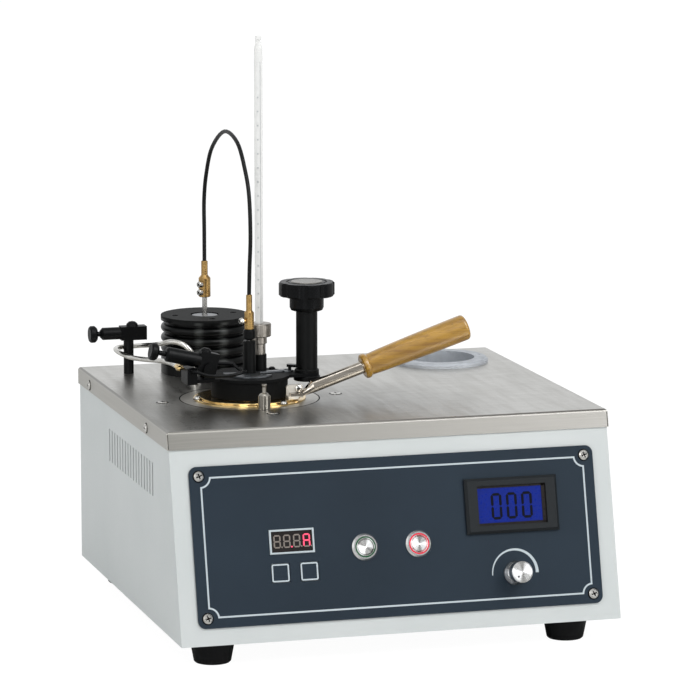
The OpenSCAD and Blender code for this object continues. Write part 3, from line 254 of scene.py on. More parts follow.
def paint(code, alpha=1.0):
    """A colour written as six hex digits, as the linear numbers a shader wants."""
    parts = [int(code[i:i + 2], 16) / 255 for i in (0, 2, 4)]
    return (*[(c / 12.92 if c <= 0.04045 else ((c + 0.055) / 1.055) ** 2.4) for c in parts],
            alpha)


# %% [markdown]
# ## Painted and rubber finishes
# The cabinet is powder coated: a pale grey with a very fine orange peel. The front panel is
# a printed film, dark blue-grey and satin. Rubber feet and black plastic only differ by how
# rough and how speckled they are, so one function makes all of them.


# %% Paint, film, rubber and plastic
def coated(name, code, other, roughness, grain, bump, shine=0.5, **constants):
    """A surface of one colour that drifts a little towards another, with a fine grain."""
    finish = Finish(name, Specular_IOR_Level=shine, **constants)
    cloud = finish.noise(9, 4)
    speck = finish.noise(grain, 2)
    colour = finish.mix(cloud.clamped(0.35, 0.7), paint(code), paint(other))
    return finish.feed(
        Base_Color=colour,
        Roughness=speck.clamped(0.3, 0.7, roughness - 0.05, roughness + 0.07),
        Normal=finish.bump(speck, bump)).material


powder_coat = coated("powder_coat", "d4d8d7", "cdd2d1", 0.42, 900, 0.10)
panel_film = coated("panel_film", "202b35", "25313c", 0.5, 1500, 0.2, 0.16)
foot_rubber = coated("foot_rubber", "0b0b0c", "101011", 0.6, 600, 0.3, 0.12)
black_plastic = coated("black_plastic", "0a0b0d", "101113", 0.38, 1100, 0.12, 0.2)
star_plastic = coated("star_plastic", "050607", "090a0c", 0.3, 700, 0.04, 0.12)
meter_plastic = coated("meter_plastic", "14181a", "1a1e21", 0.42, 1200, 0.12, 0.2)
board_green = coated("board_green", "2a5f40", "2f6b46", 0.35, 300, 0.1)
woven_band = coated("woven_band", "8a7a68", "76685a", 0.8, 500, 0.5)
flex_cover = coated("flex_cover", "080909", "101111", 0.42, 800, 0.15, 0.2)
iron_cast = coated("iron_cast", "4a4743", "3a3835", 0.7, 250, 0.6, Metallic=0.7)
print("coated finishes:", len(bpy.data.materials))

# %% [markdown]
# ## Metals
# A brushed sheet is scratched one way only. Noise that is stretched along that way gives
# fine streaks, which change the colour a little and the roughness more. Turned pieces are
# scratched round their axis, so there the noise reads height and not place.


# %% Brushed and turned metals
def brushed(name, code, other, low, high, along=(1, 60, 60), scale=40, bump=0.05, **constants):
    """Metal with streaks along the axis whose number in `along` is smallest."""
    finish = Finish(name, Metallic=1, **constants)
    streaks = finish.noise(scale, 5, 0.6, along)
    patches = finish.noise(14, 3)
    colour = finish.mix(streaks.clamped(0.35, 0.65), paint(code), paint(other))
    soft = streaks.clamped(0.3, 0.7, low, high)
    return finish.feed(
        Base_Color=colour,
        Roughness=soft + patches.clamped(0.4, 0.65, -0.04, 0.05),
        Normal=finish.bump(streaks, bump, 0.0002)).material


def turned_metal(name, code, other, low, high, pitch=900, spots=120, **constants):
    """Metal turned on a lathe: rings that follow the height, with a few dull spots."""
    finish = Finish(name, Metallic=constants.pop("Metallic", 1), **constants)
    rings = finish.noise(pitch, 2, 0.5, (0.02, 0.02, 1))
    dull = finish.noise(spots, 4)
    colour = finish.mix(dull.clamped(0.42, 0.68), paint(code), paint(other))
    return finish.feed(
        Base_Color=colour,
        Roughness=rings.clamped(0.3, 0.7, low, high) + dull.clamped(0.5, 0.8, 0, 0.12),
        Normal=finish.bump(rings, 0.06, 0.0002)).material


# %% [markdown]
# The top is one folded sheet. A painted reflection of the stove and cup darkens it round the
# stove, and its skirt is duller than its flat. On the skirt, painted shade darkens the front
# towards the left, and a painted dark line of shade runs along the fold. One finish holds
# both, and tells them apart by height.

# %% Stainless top
# A painted reflection of the stove and cup darkens the top: its middle, its reach, and the share
# of bare steel left at its middle.
STOVE_REFLECTION_AT = on_top(98, 56)
STOVE_REFLECTION_REACH = (0.19, 0.15)
BARE_IN_REFLECTION = 0.3
SKIRT_BELOW = 0.08
FOLD_BELOW = 1.3


def brushed_top(name):
    """Streaks along the width, and a painted reflection of the stove round it. The folded skirt is
    duller, shows less of the room, and has painted shade.
    """
    finish = Finish(name, Metallic=1)
    streaks = finish.noise(30, 5, 0.6, (1, 45, 45))
    across = finish.noise(18, 4, 0.55, (9, 1, 9))
    x, y, z = finish.axes(finish.here())
    # Painted reflection: the top is darker in an oval round the stove.
    aside = ((x - STOVE_REFLECTION_AT.x) / STOVE_REFLECTION_REACH[0]) ** 2
    along = ((y - STOVE_REFLECTION_AT.y) / STOVE_REFLECTION_REACH[1]) ** 2
    stove_reflection = ((aside + along) ** 0.5).clamped(0.25, 1.0, BARE_IN_REFLECTION, 1.0)
    on_skirt = z < (corner.z - SKIRT_BELOW * MM)
    lively = streaks.clamped(0.35, 0.65) * 0.7 + across.clamped(0.35, 0.7) * 0.3
    bare = finish.mix(lively, paint("c6c4bf"), paint("b3b1ac"))
    with_reflection = finish.mix(stove_reflection, paint("3a3936"), bare)
    # Painted shade: the front of the skirt is darker towards the left and lighter towards the
    # right.
    front = finish.mix(x.clamped(-0.17, 0.17), paint("8b8983"), paint("b8b5af"))
    skirt = finish.mix(x < (on_top(0.6, 0).x), front, paint("b0ada6"))
    lines = finish.noise(14, 3, 0.5, (1, 1, 60)).clamped(0.35, 0.65, 0, 0.35)
    skirt = finish.mix(lines, skirt, paint("a09d97"))
    # Painted shade: a dark line along the fold, stronger towards the right.
    folded = on_skirt * (z > (corner.z - FOLD_BELOW * MM))
    skirt = finish.mix(folded * x.clamped(-0.1, 0.05, 0.35, 1), skirt, paint("66635e"))
    grain = streaks.clamped(0.3, 0.7, 0.28, 0.38) + across.clamped(0.4, 0.65, -0.03, 0.04)
    return finish.feed(
        Base_Color=finish.mix(on_skirt, with_reflection, skirt),
        Metallic=1 - on_skirt * 0.6,
        Roughness=grain * (1 - on_skirt) + on_skirt * 0.34,
        Normal=finish.bump(streaks * (1 - on_skirt * 0.9), 0.04, 0.0002)).material


stainless = brushed_top("stainless")

# %% [markdown]
# Each other metal is one line: two near colours, and the least and most roughness.

# %% Steels, brass and blackened metal
plain_sheet = brushed("plain_sheet", "9a9d9e", "8f9293", 0.4, 0.55, (1, 8, 8), 60)
screw_steel = turned_metal("screw_steel", "d0cec9", "b9b7b2", 0.16, 0.28)
post_steel = brushed("post_steel", "b1aca3", "8f8a81", 0.12, 0.24, (1, 1, 0.05), 700)
bright_plate = turned_metal("bright_plate", "efebe3", "dcd7ce", 0.3, 0.42, Metallic=0.4)
rod_steel = brushed("rod_steel", "bbb3a8", "9d958a", 0.1, 0.2, (0.06, 1, 1), 600)
shaft_steel = turned_metal("shaft_steel", "b7b5b1", "a19f9b", 0.16, 0.26, 250)
ferrule_steel = turned_metal("ferrule_steel", "a39d95", "837d75", 0.3, 0.46)
well_metal = turned_metal("well_metal", "bcc0c5", "adb1b6", 0.5, 0.62, 500, Metallic=0.55)
plate_metal = brushed("plate_metal", "bdbab4", "a5a29c", 0.28, 0.42, (1, 6, 6), 160)
pipe_chrome = turned_metal("pipe_chrome", "d6d4cf", "bab7b0", 0.1, 0.22)
button_chrome = turned_metal("button_chrome", "d9d9d8", "c3c3c3", 0.1, 0.2)
brass = turned_metal("brass", "dec28a", "c4a469", 0.12, 0.2, 300, 30)
brass_dull = turned_metal("brass_dull", "b1905a", "86693f", 0.2, 0.36)
black_metal = turned_metal("black_metal", "050606", "090a0a", 0.36, 0.46, 700, Metallic=0,
                           Specular_IOR_Level=0.14)
lid_black = coated("lid_black", "050607", "0a0b0c", 0.6, 1000, 0.05, 0.1)
black_satin = coated("black_satin", "050607", "0a0b0c", 0.38, 1000, 0.08, 0.12)
# Black for the seams, and for painted shade: in screw recesses, round screw heads and in the
# stove's gap.
seam_and_shade_black = coated("seam_and_shade_black", "050505", "080808", 0.8, 500, 0.05, 0.02)
dark_steel = brushed("dark_steel", "7c7f82", "64676a", 0.3, 0.45, (1, 4, 4), 200)
core_steel = brushed("core_steel", "77736e", "5f5b57", 0.5, 0.65, (60, 60, 1), 30)

# %% [markdown]
# Two soft upright bands of highlight are painted on the motor's fins, as a lighter colour.
# The angle round the motor's axis gives them, so they stay where they are in every view.

# %% Motor's black
MOTOR_AT = on_top(MOTOR.x, MOTOR.y, MOTOR_FACE)
# Angles round the motor's axis of the two painted highlight bands.
MOTOR_HIGHLIGHT_TURNS = (-22.4, 11.6)
DISC_EDGE = 0.6


def motor_black(name):
    """Black turned metal: a dull top disc, and two soft bands of painted highlight down its side.
    """
    finish = Finish(name, Specular_IOR_Level=0.16)
    x, y, z = finish.axes(finish.here())
    around = (x - MOTOR_AT.x).arctan2(MOTOR_AT.y - y)
    # Painted highlight: the colour turns lighter in two bands round the axis, on the side only.
    highlight_bands = 0
    for turn in MOTOR_HIGHLIGHT_TURNS:
        highlight_bands = (around - math.radians(turn)).absolute().clamped(0.03, 0.13, 1, 0) + highlight_bands
    disc = z > (MOTOR_AT.z - DISC_EDGE * MM)
    side = highlight_bands * (1 - disc)
    speck = finish.noise(900, 2)
    return finish.feed(
        Base_Color=finish.mix(side.clamped(0, 1), paint("060707"), paint("3b3d3b")),
        Roughness=disc.clamped(0, 1, 0.28, 0.6) + speck.clamped(0.3, 0.7, 0, 0.05),
        Normal=finish.bump(speck, 0.04)).material


motor_finish = motor_black("motor_black")
print("metals done:", len(bpy.data.materials))

# %% [markdown]
# ## Wood
# The handle is turned from one piece of wood and varnished. Its grain runs along it, so
# three noises are stretched along its slope: wide bands of colour, narrower dark streaks
# and fine pores. The varnish is the shader's coat.

# %% Wood
HANDLE_SLOPE = 18


def turned_wood(name):
    """Varnished wood whose grain follows the handle."""
    finish = Finish(name, Coat_Weight=1.0, Coat_Roughness=0.27, Specular_IOR_Level=0.3)
    slant = (0, math.radians(HANDLE_SLOPE), 0)
    bands = finish.noise(260, 6, 0.6, (0.06, 1, 1), slant)
    wide = finish.noise(55, 3, 0.5, (0.12, 1, 1), slant)
    pores = finish.noise(1500, 2, 0.5, (0.03, 1, 1), slant)
    pale = finish.mix(wide.clamped(0.35, 0.65), paint("c6962c"), paint("aa7e20"))
    grained = finish.mix(bands.clamped(0.45, 0.75), pale, paint("815813"))
    colour = finish.mix(pores.clamped(0.6, 0.75, 0, 0.5), grained, paint("5f4012"))
    return finish.feed(
        Base_Color=colour,
        Roughness=bands.clamped(0.3, 0.7, 0.32, 0.46),
        Normal=finish.bump(bands, 0.4, 0.0003)).material


handle_wood = turned_wood("handle_wood")

# %% [markdown]
# ## Glass and lit pieces
# Refraction in so thin a rod as the thermometer's shows as speckle, so the glass is a pale
# surface whose Alpha lets what is in and behind it through. What is lit gives off its own
# light, at a strength that still shows its colour. The rod and its white backing strip are no
# lamps, yet they glow faintly too: painted light that brightens them.


# %% Glass and light
def pale_glass(name):
    """A pale rod that can be seen through, with a faint painted glow."""
    finish = Finish(name, Metallic=0, Alpha=0.6, Specular_IOR_Level=0.3,
                    Emission_Color=(1, 1, 1, 1), Emission_Strength=0.05)
    return finish.feed(Base_Color=paint("f4f4f2"), Roughness=finish.noise(300).clamped(
        0.4, 0.7, 0.14, 0.2)).material


def glowing(name, code, strength, roughness=0.35, **constants):
    """A lens lit from behind, a little uneven."""
    finish = Finish(name, Emission_Strength=strength, **constants)
    uneven = finish.noise(420, 2)
    darker = tuple(c * 0.8 for c in paint(code)[:3]) + (1.0,)
    colour = finish.mix(uneven.clamped(0.35, 0.65), paint(code), darker)
    return finish.feed(Base_Color=colour, Emission_Color=colour,
                       Roughness=uneven.clamped(0.3, 0.7, roughness - 0.05, roughness + 0.05)
                       ).material


tube_glass = pale_glass("tube_glass")
green_lens = glowing("green_lens", "0a5c31", 0.1, Specular_IOR_Level=0.15)
red_lens = glowing("red_lens", "e01538", 0.6, Specular_IOR_Level=0.15)
lcd_blue = glowing("lcd_blue", "0e247f", 0.22, 0.3, Specular_IOR_Level=0.15)
lit_segment = glowing("lit_segment", "ff4f70", 0.9)
unlit_segment = coated("unlit_segment", "8b8179", "7d746d", 0.5, 600, 0.05)
window_dark = coated("window_dark", "1c1817", "242020", 0.3, 400, 0.03, 0.15)
lcd_ink = coated("lcd_ink", "05070f", "080a14", 0.4, 400, 0.03, 0.08)
print_pale = coated("print_pale", "c9d3d8", "bfcacf", 0.45, 900, 0.05)
# The thermometer's backing strip is no lamp: its glow is painted light that brightens it.
glowing_scale_white = glowing("glowing_scale_white", "fafaf9", 0.16, 0.5)
mark_grey = coated("mark_grey", "a9adae", "a1a5a6", 0.5, 500, 0.05)
dot_black = coated("dot_black", "101112", "161718", 0.5, 500, 0.05)
dark_cap = coated("dark_cap", "8d8a84", "7b7872", 0.3, 300, 0.05, Metallic=0.6)
cap_metal = turned_metal("cap_metal", "8f9194", "77797c", 0.3, 0.45, 500)
print("all finishes:", len(bpy.data.materials))


# %% [markdown]
# The turned faces of the push buttons and of the heating knob shine in a fan: fine rings
# turn each ray of light another way. Here the angle round the middle drives the roughness
# and a painted highlight: bright and dark wedges painted into the colour, the same from
# every side.


# %% Faces with a fan of light
def fan_turned(name, place, turn):
    """Turned metal whose face has a painted highlight: bright and dark wedges round the middle of
    `place`.
    """
    finish = Finish(name, Metallic=1, Anisotropic=0.5)
    middle = place.to_translation()
    tilt = place.to_euler()
    moved = finish.node("ShaderNodeMapping", {"vector_type": "TEXTURE"}, {
        "Vector": finish.here(),
        "Location": tuple(middle), "Rotation": tuple(tilt)})
    across, upward, _ = finish.axes(moved)
    angle = upward.arctan2(across)
    fan = (angle * 2 + turn).sine()
    fine = (angle * 6 + 1.7).sine()
    highlight_wedge = fan.clamped(-1, 1) * 0.75 + fine.clamped(-1, 1) * 0.25
    # Painted highlight: the colour goes from grey to white with the wedges.
    colour = finish.mix(highlight_wedge.clamped(0.1, 0.9), paint("a9a8a5"), paint("ffffff"))
    return finish.feed(Base_Color=colour,
                       Roughness=highlight_wedge.clamped(0, 1, 0.2, 0.34)).material


FAN_BUTTON = (148, 95.1)
POWER_BUTTON = (190.5, 95.1)
HEATING_KNOB = (266, 121.9)
fan_face = fan_turned("fan_face", front_place(*FAN_BUTTON), turn=0.4)
power_face = fan_turned("power_face", front_place(*POWER_BUTTON), turn=1.9)
knob_face = fan_turned("knob_face", front_place(*HEATING_KNOB), turn=1.1)

# %% [markdown]
# ## Dressing the solids
# A CAD solid keeps its mesh and its place, and only its material changes. The table goes
# from a finish to the solids that wear it.

# %% Put the finishes on the solids
wearing = {
    powder_coat: "cabinet rear_panel",
    stainless: "top_cover",
    plain_sheet: "base_plate stove_can",
    foot_rubber: "feet",
    screw_steel: "panel_screws cover_screws",
    print_pale: "led_display",
    meter_plastic: "voltmeter",
    lcd_blue: "meter_lcd",
    button_chrome: "button_bodies",
    green_lens: "fan_ring",
    red_lens: "power_ring",
    fan_face: "fan_button",
    power_face: "power_button",
    black_plastic: "heating_regulator cooling_fan fan_rotor power_inlet",
    knob_face: "heating_knob",
    iron_cast: "stove",
    plate_metal: "stove_plate",
    brass: "seat_ring gas_inlet gas_union cup",
    brass_dull: "motor_coupling stirrer_hub",
    woven_band: "heater_band",
    post_steel: "locating_post",
    bright_plate: "cup_bracket",
    rod_steel: "cup_rod",
    well_metal: "cooling_well",
    motor_finish: "motor_housing",
    lid_black: "lid carrier_plate",
    black_metal: "column stirrer_bearing thermometer_socket",
    shaft_steel: "motor_shaft stirrer_shaft",
    black_satin: "gas_post post_valve_knob gas_block pilot_tube igniter igniter_knob",
    pipe_chrome: "gas_pipe",
    board_green: "control_board",
    core_steel: "transformer",
    handle_wood: "cup_handle",
    star_plastic: "star_knob",
    dark_steel: "shutter",
    ferrule_steel: "thermometer_ferrule",
    tube_glass: "thermometer",
    flex_cover: "drive_cable",
    panel_film: "front_panel method_key start_key",
}
for material, names in wearing.items():
    for name in names.split():
        nodes[name].data.materials.clear()
        nodes[name].data.materials.append(material)
print("dressed:", len(" ".join(wearing.values()).split()))

# %% [markdown]
# ## Small pieces
# A solid model has no digits, printed lines or little screws. Each is a mesh of its own
# that rides on the body that carries it, so that it moves with the lid, the cup or a key.
# Most are made from a short profile that is spun, or a face that is inset and extruded.


# %% Making and keeping a piece
SHARP_FROM = math.radians(35)


def keep(bm, name, body, material):
    """Turns a bmesh into a finished piece: faces outwards, smooth but for sharp edges."""
    bmesh.ops.remove_doubles(bm, verts=bm.verts, dist=1e-7)
    bmesh.ops.recalc_face_normals(bm, faces=bm.faces)
    mesh = bpy.data.meshes.new(name)
    bm.to_mesh(mesh)
    bm.free()
    mesh.shade_smooth()
    mesh.set_sharp_from_angle(angle=SHARP_FROM)
    mesh.materials.append(material)
    piece = bpy.data.objects.new(name, mesh)
    put_in_scene(piece)
    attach(piece, body)
    print(name, "faces:", len(mesh.polygons))
    return piece


# %% [markdown]
# A round piece comes from half of its section: points of radius and height, which the spin
# operator takes once round. Two profiles are needed often, a rod's and a flat ring's.


# %% Spun pieces
def spun(profile, place, steps=40, bm=None):
    """Adds a profile of (radius, height) points, spun round the +Z axis of `place`."""
    bm = bm or bmesh.new()
    before = set(bm.verts)
    verts = [bm.verts.new((r * MM, 0, z * MM)) for r, z in profile]
    edges = [bm.edges.new(pair) for pair in zip(verts, verts[1:])]
    bmesh.ops.spin(bm, geom=verts + edges, axis=(0, 0, 1), cent=(0, 0, 0), steps=steps,
                   angle=math.tau, use_merge=True)
    bmesh.ops.remove_doubles(bm, verts=[v for v in bm.verts if v not in before], dist=1e-8)
    bmesh.ops.transform(bm, matrix=place, verts=[v for v in bm.verts if v not in before])
    return bm


def rectangle(x0, y0, x1, y1):
    """Outline of a rectangle between two corners."""
    return [(x0, y0), (x1, y0), (x1, y1), (x0, y1)]


def rod_profile(radius, length):
    """Profile of a plain rod, to be spun."""
    return [(0, 0), (radius, 0), (radius, length), (0, length)]


def ring_profile(inner, outer, low, high):
    """Closed profile of a flat ring, to be spun."""
    return [*rectangle(inner, low, outer, high), (inner, low)]


# %% [markdown]
# A flat piece starts as one face, which is extruded to its thickness. Where its outline is
# rounded, the corners are arcs.


# %% Flat pieces
def move_made(bm, made, way):
    """Moves the corners among what an operator made."""
    corners = [item for item in made if isinstance(item, bmesh.types.BMVert)]
    bmesh.ops.translate(bm, vec=way, verts=corners)


def plate(outline, thick, place, bm=None):
    """Adds a flat outline of (x, y) points, extruded to a thickness along +Z of `place`."""
    bm = bm or bmesh.new()
    face = bm.faces.new([bm.verts.new(place @ Vector((x * MM, y * MM, 0))) for x, y in outline])
    up = (place.to_3x3() @ Vector((0, 0, 1))).normalized() * thick * MM
    move_made(bm, bmesh.ops.extrude_face_region(bm, geom=[face])["geom"], up)
    return bm


def on_circle(cx, cy, radius, angle):
    """The point of a circle round (cx, cy) at an angle in degrees."""
    return (cx + radius * math.cos(math.radians(angle)),
            cy + radius * math.sin(math.radians(angle)))


def arc(cx, cy, radius, start, end, count=10):
    """Points of an arc round (cx, cy), from one angle to another in degrees."""
    return [on_circle(cx, cy, radius, start + (end - start) * i / count)
            for i in range(count + 1)]


# %% [markdown]
# ## The printed border
# A pale line runs round the panel and bends inwards round each corner screw. It is drawn as
# one closed outline, inset by the line's width, and only the rim of it is kept.

# %% Border line of the panel
LINE_WIDTH = 1.3
LINE_THICK = 0.08
PANEL_THICK = 1.5
LINE_BOX = (23.2, 35.6, 327.3, 141.6)
SCREW_CURVE = 7.2


def rim(outline, width, thick, place):
    """A flat closed line of some width along the inside of an outline."""
    bm = bmesh.new()
    face = bm.faces.new([bm.verts.new((x * MM, y * MM, 0)) for x, y in outline])
    bm.normal_update()
    line = bmesh.ops.inset_region(bm, faces=[face], thickness=width * MM,
                                  use_boundary=True, use_even_offset=True)
    bmesh.ops.delete(bm, geom=[face], context="FACES_ONLY")
    made = bmesh.ops.extrude_face_region(bm, geom=line["faces"])["geom"]
    move_made(bm, made, (0, 0, thick * MM))
    bmesh.ops.transform(bm, matrix=place, verts=bm.verts)
    return bm


def border_outline():
    """The border's outer edge, with a bite out of each corner for its screw."""
    left, top, right, low = LINE_BOX
    r = SCREW_CURVE
    return (arc(left, -top, r, 0, -90) + arc(left, -low, r, 90, 0)
            + arc(right, -low, r, 180, 90) + arc(right, -top, r, 270, 180))


on_panel = front_place(0, 0, PANEL_THICK)
keep(rim(border_outline(), LINE_WIDTH, LINE_THICK, on_panel), "border_line", "housing",
     print_pale)

# %% [markdown]
# ## Button lips
# The push buttons have a fine turned lip inside their bezel, spun from its profile.

# %% Button lips
BUTTON_LIP = [(6.4, 3.2), (7.0, 3.2), (7.0, 3.9), (6.8, 4.1), (6.4, 4.1), (6.4, 3.2)]
for button, spot, face in (("fan", FAN_BUTTON, fan_face), ("power", POWER_BUTTON, power_face)):
    keep(spun(BUTTON_LIP, front_place(*spot), 48), button + "_lip", "housing", face)

# %% [markdown]
# ## Heating scale
# The arc over the heating knob swells from a thin left end to a thick right end. Its outer
# and inner edges are two arcs whose radii part steadily. A dark dot sits in the small hole
# that the knob's solid has for it.

# %% Scale arc and the knob's dot
ARC_RADIUS = 18.7
ARC_THIN = 0.75
ARC_THICK = 2.4
ARC_STARTS, ARC_ENDS = 183, -2
ARC_STEPS = 48


def scale_arc():
    """The arc as two edges joined by faces, with the thickness of the print."""
    cx, cy = HEATING_KNOB[0], -HEATING_KNOB[1]
    outer = arc(cx, cy, ARC_RADIUS, ARC_STARTS, ARC_ENDS, ARC_STEPS)
    inner = []
    for i in range(ARC_STEPS + 1):
        thick = ARC_THIN + (ARC_THICK - ARC_THIN) * i / ARC_STEPS
        angle = ARC_STARTS - (ARC_STARTS - ARC_ENDS) * i / ARC_STEPS
        inner.append(on_circle(cx, cy, ARC_RADIUS - thick, angle))
    bm = bmesh.new()
    rings = [[bm.verts.new(on_panel @ Vector((x * MM, y * MM, LINE_THICK * MM)))
              for x, y in line] for line in (inner, outer)]
    edges = [[bm.edges.new(pair) for pair in zip(ring, ring[1:])] for ring in rings]
    faces = bmesh.ops.bridge_loops(bm, edges=edges[0] + edges[1])["faces"]
    low = (on_panel.to_3x3() @ Vector((0, 0, -1))) * LINE_THICK * MM
    move_made(bm, bmesh.ops.extrude_face_region(bm, geom=faces)["geom"], low)
    return bm


keep(scale_arc(), "scale_arc", "housing", print_pale)

KNOB_TOP = 19.85
DOT_DEPTH = 0.5
DOT_AT = (-3.46, -3.46)
DOT_RADIUS, DOT_THICK = 0.75, 0.42
dot_place = front_place(*HEATING_KNOB, KNOB_TOP - DOT_DEPTH) @ shifted(*DOT_AT)
keep(spun(rod_profile(DOT_RADIUS, DOT_THICK), dot_place, 20), "knob_dot", "heating_knob",
     dot_black)

# %% [markdown]
# ## Digits
# Both displays use seven bars a digit. A bar is a six-sided outline with pointed ends, so
# that neighbours meet at a slant, as they do behind a real filter. One function places the
# bars that a digit needs.

# %% Seven-bar digits
BARS = {"a": (0, 1, False), "b": (1, 0.5, True), "c": (1, -0.5, True), "d": (0, -1, False),
        "e": (-1, -0.5, True), "f": (-1, 0.5, True), "g": (0, 0, False)}
BAR_GAP = 0.25


def bar_outline(length, width):
    """Six corners of a bar whose ends are points."""
    half, point = length / 2, width / 2
    return [(-half, 0), (-half + point, -point), (half - point, -point), (half, 0),
            (half - point, point), (-half + point, point)]


def digit(bm, bars, x, slope, wide, high, bar, out, thick):
    """Adds the named bars of a digit whose centre is x from the left, slope down."""
    across, upward = (wide - bar) / 2, (high - bar) / 2
    for key in bars:
        side, level, upright = BARS[key]
        length = (upward if upright else 2 * across) - BAR_GAP
        spot = front_place(x + side * across, slope - level * upward, out)
        if upright:
            spot = spot @ turned(90)
        plate(bar_outline(length, bar), thick, spot, bm)
    return bm


# %% [markdown]
# The small display shows four digits behind a dark filter. Three are unlit. The fourth is
# lit but for its lowest bar, and so is the point after the second.

# %% Digits of the small display
LED_LEFT = 73.6
LED_TOP = 78.1
LED_WIDE = 35.0
LED_HIGH = 18.6
LED_CENTRES = (6.0, 13.6, 21.3, 29.0)
LED_DIGIT = (5.6, 10.0, 1.05)
LED_MIDDLE = LED_TOP + 9.1
LED_EDGE = 1.45
FILTER_FACE = PANEL_THICK + 0.42
FILTER_THICK = 0.2
LED_FACE = PANEL_THICK + 0.6
BAR_THICK = 0.12
POINT_RADIUS = 0.62
POINT_RIGHT, POINT_DOWN = 3.6, 4.3


def led_dark():
    """The dark filter that fills the display's frame."""
    w, h = LED_WIDE - 2 * LED_EDGE, LED_HIGH - 2 * LED_EDGE
    place = front_place(LED_LEFT + LED_EDGE, LED_TOP + LED_HIGH - LED_EDGE, FILTER_FACE)
    return plate(rectangle(0, 0, w, h), FILTER_THICK, place)


def led_digits(which, bars):
    """The named bars of some of the four digits."""
    bm = bmesh.new()
    for place in which:
        digit(bm, bars, LED_LEFT + LED_CENTRES[place], LED_MIDDLE, *LED_DIGIT, LED_FACE,
              BAR_THICK)
    return bm


def led_points(which):
    """The points at the lower right of some of the four digits."""
    bm = bmesh.new()
    for place in which:
        spot = front_place(LED_LEFT + LED_CENTRES[place] + POINT_RIGHT, LED_MIDDLE + POINT_DOWN,
                           LED_FACE)
        spun(rod_profile(POINT_RADIUS, BAR_THICK), spot, 12, bm)
    return bm


for name, made, finish in (
        ("led_filter", led_dark(), window_dark),
        ("led_digits_off", led_digits((0, 1, 2), "abcdefg"), unlit_segment),
        ("led_bar_off", led_digits((3,), "d"), unlit_segment),
        ("led_digit_lit", led_digits((3,), "abcefg"), lit_segment),
        ("led_points_off", led_points((0, 2, 3)), unlit_segment),
        ("led_point_lit", led_points((1,)), lit_segment)):
    keep(made, name, "housing", finish)

# %% [markdown]
# The voltmeter's digits are dark on blue, and larger. A black surround fills the edge of
# its window. The digits use the same bars without the middle one, so they read as noughts.

# %% Liquid crystal of the voltmeter
METER_LEFT = 229.3
METER_TOP = 48.5
METER_WIDE = 74
METER_HIGH = 42.5
LCD_WIDE = METER_WIDE - 19.2
LCD_HIGH = METER_HIGH - 12.1
LCD_FACE = PANEL_THICK + 2.2
LCD_DIGIT = (8.6, 20.2, 2.0)
LCD_PRINT = 0.1
SURROUND_THICK, SURROUND_SUNK = 0.5, 0.1
LCD_CENTRES = (15.1, 27.3, 39.5)
LCD_LEFT = METER_LEFT + (METER_WIDE - LCD_WIDE) / 2
LCD_LOW = METER_TOP + (METER_HIGH + LCD_HIGH) / 2
LCD_MIDDLE = METER_TOP + METER_HIGH / 2 + 0.7
SURROUND = ((0, 0, LCD_WIDE, 2.0), (0, LCD_HIGH - 1.8, LCD_WIDE, LCD_HIGH),
            (0, 0, 0.2, LCD_HIGH), (LCD_WIDE - 3.3, 0, LCD_WIDE, LCD_HIGH))


def lcd_mask():
    """Black surround in the meter's window: wide on the right, narrow elsewhere."""
    bm = bmesh.new()
    for bar in SURROUND:
        plate(rectangle(*bar), SURROUND_THICK,
              front_place(LCD_LEFT, LCD_LOW, LCD_FACE - SURROUND_SUNK), bm)
    return bm


def lcd_digits():
    """Three noughts on the crystal."""
    bm = bmesh.new()
    for centre in LCD_CENTRES:
        digit(bm, "abcdef", LCD_LEFT + centre, LCD_MIDDLE, *LCD_DIGIT, LCD_FACE + 0.01,
              LCD_PRINT)
    return bm


keep(lcd_mask(), "lcd_surround", "housing", window_dark)
keep(lcd_digits(), "lcd_digits", "housing", lcd_ink)

# %% [markdown]
# ## Keys
# Each key is a square of the panel's own film, with a pale rounded line printed on it. The
# line is made as the panel's border is: only the rim of a rounded outline is kept.

# %% Key outlines
KEY_SIDE = 14.6
KEY_TOP = LED_TOP + LED_HIGH + 6.8
KEY_FACE = 0.5 + PANEL_THICK + 0.2
KEY_PLACES = {"method_key": LED_LEFT + 0.3, "start_key": LED_LEFT + 22.9}
KEY_INSET = 0.55
KEY_CORNER = 1.5
KEY_LINE = 1.1
KEY_PRINT = 0.06
KEY_SHIFT = -0.5


def rounded_square(low, high, r):
    """A square from one corner value to another, with rounded corners."""
    return (arc(low + r, low + r, r, 180, 270, 6) + arc(high - r, low + r, r, 270, 360, 6)
            + arc(high - r, high - r, r, 0, 90, 6) + arc(low + r, high - r, r, 90, 180, 6))


for key, left in KEY_PLACES.items():
    outline = rounded_square(KEY_INSET, KEY_SIDE - KEY_INSET, KEY_CORNER)
    place = front_place(left, KEY_TOP + KEY_SIDE, KEY_FACE) @ shifted(KEY_SHIFT, 0)
    keep(rim(outline, KEY_LINE, KEY_PRINT, place), key + "_line", key, print_pale)

# %% [markdown]
# ## Screws
# Every round-headed screw here is the same form at another size: a low dome with a cross
# cut into it. The dome is a spun profile, and the cross is two thin dark bars set in it:
# painted shade that stands for the recess.

# %% Small screws
def screw_head(place, radius, height, bm):
    """Adds the dome of a screw whose seat is at `place`."""
    profile = [(0, 0), (radius, 0), (radius, height * 0.35), (radius * 0.9, height * 0.72),
               (radius * 0.62, height * 0.94), (0, height)]
    return spun(profile, place, 28, bm)


def cross_bars(place, long, wide, rise, thick, bm):
    """Adds two thin bars that cross at a rise over `place`: painted shade for a screw's recess."""
    for turn in (0, 90):
        plate(rectangle(-long, -wide, long, wide), thick,
              place @ turned(turn) @ shifted(0, 0, rise), bm)


def upright(point, turn=0.0):
    """A place whose +Z looks up."""
    return Matrix.Translation(point) @ turned(turn)


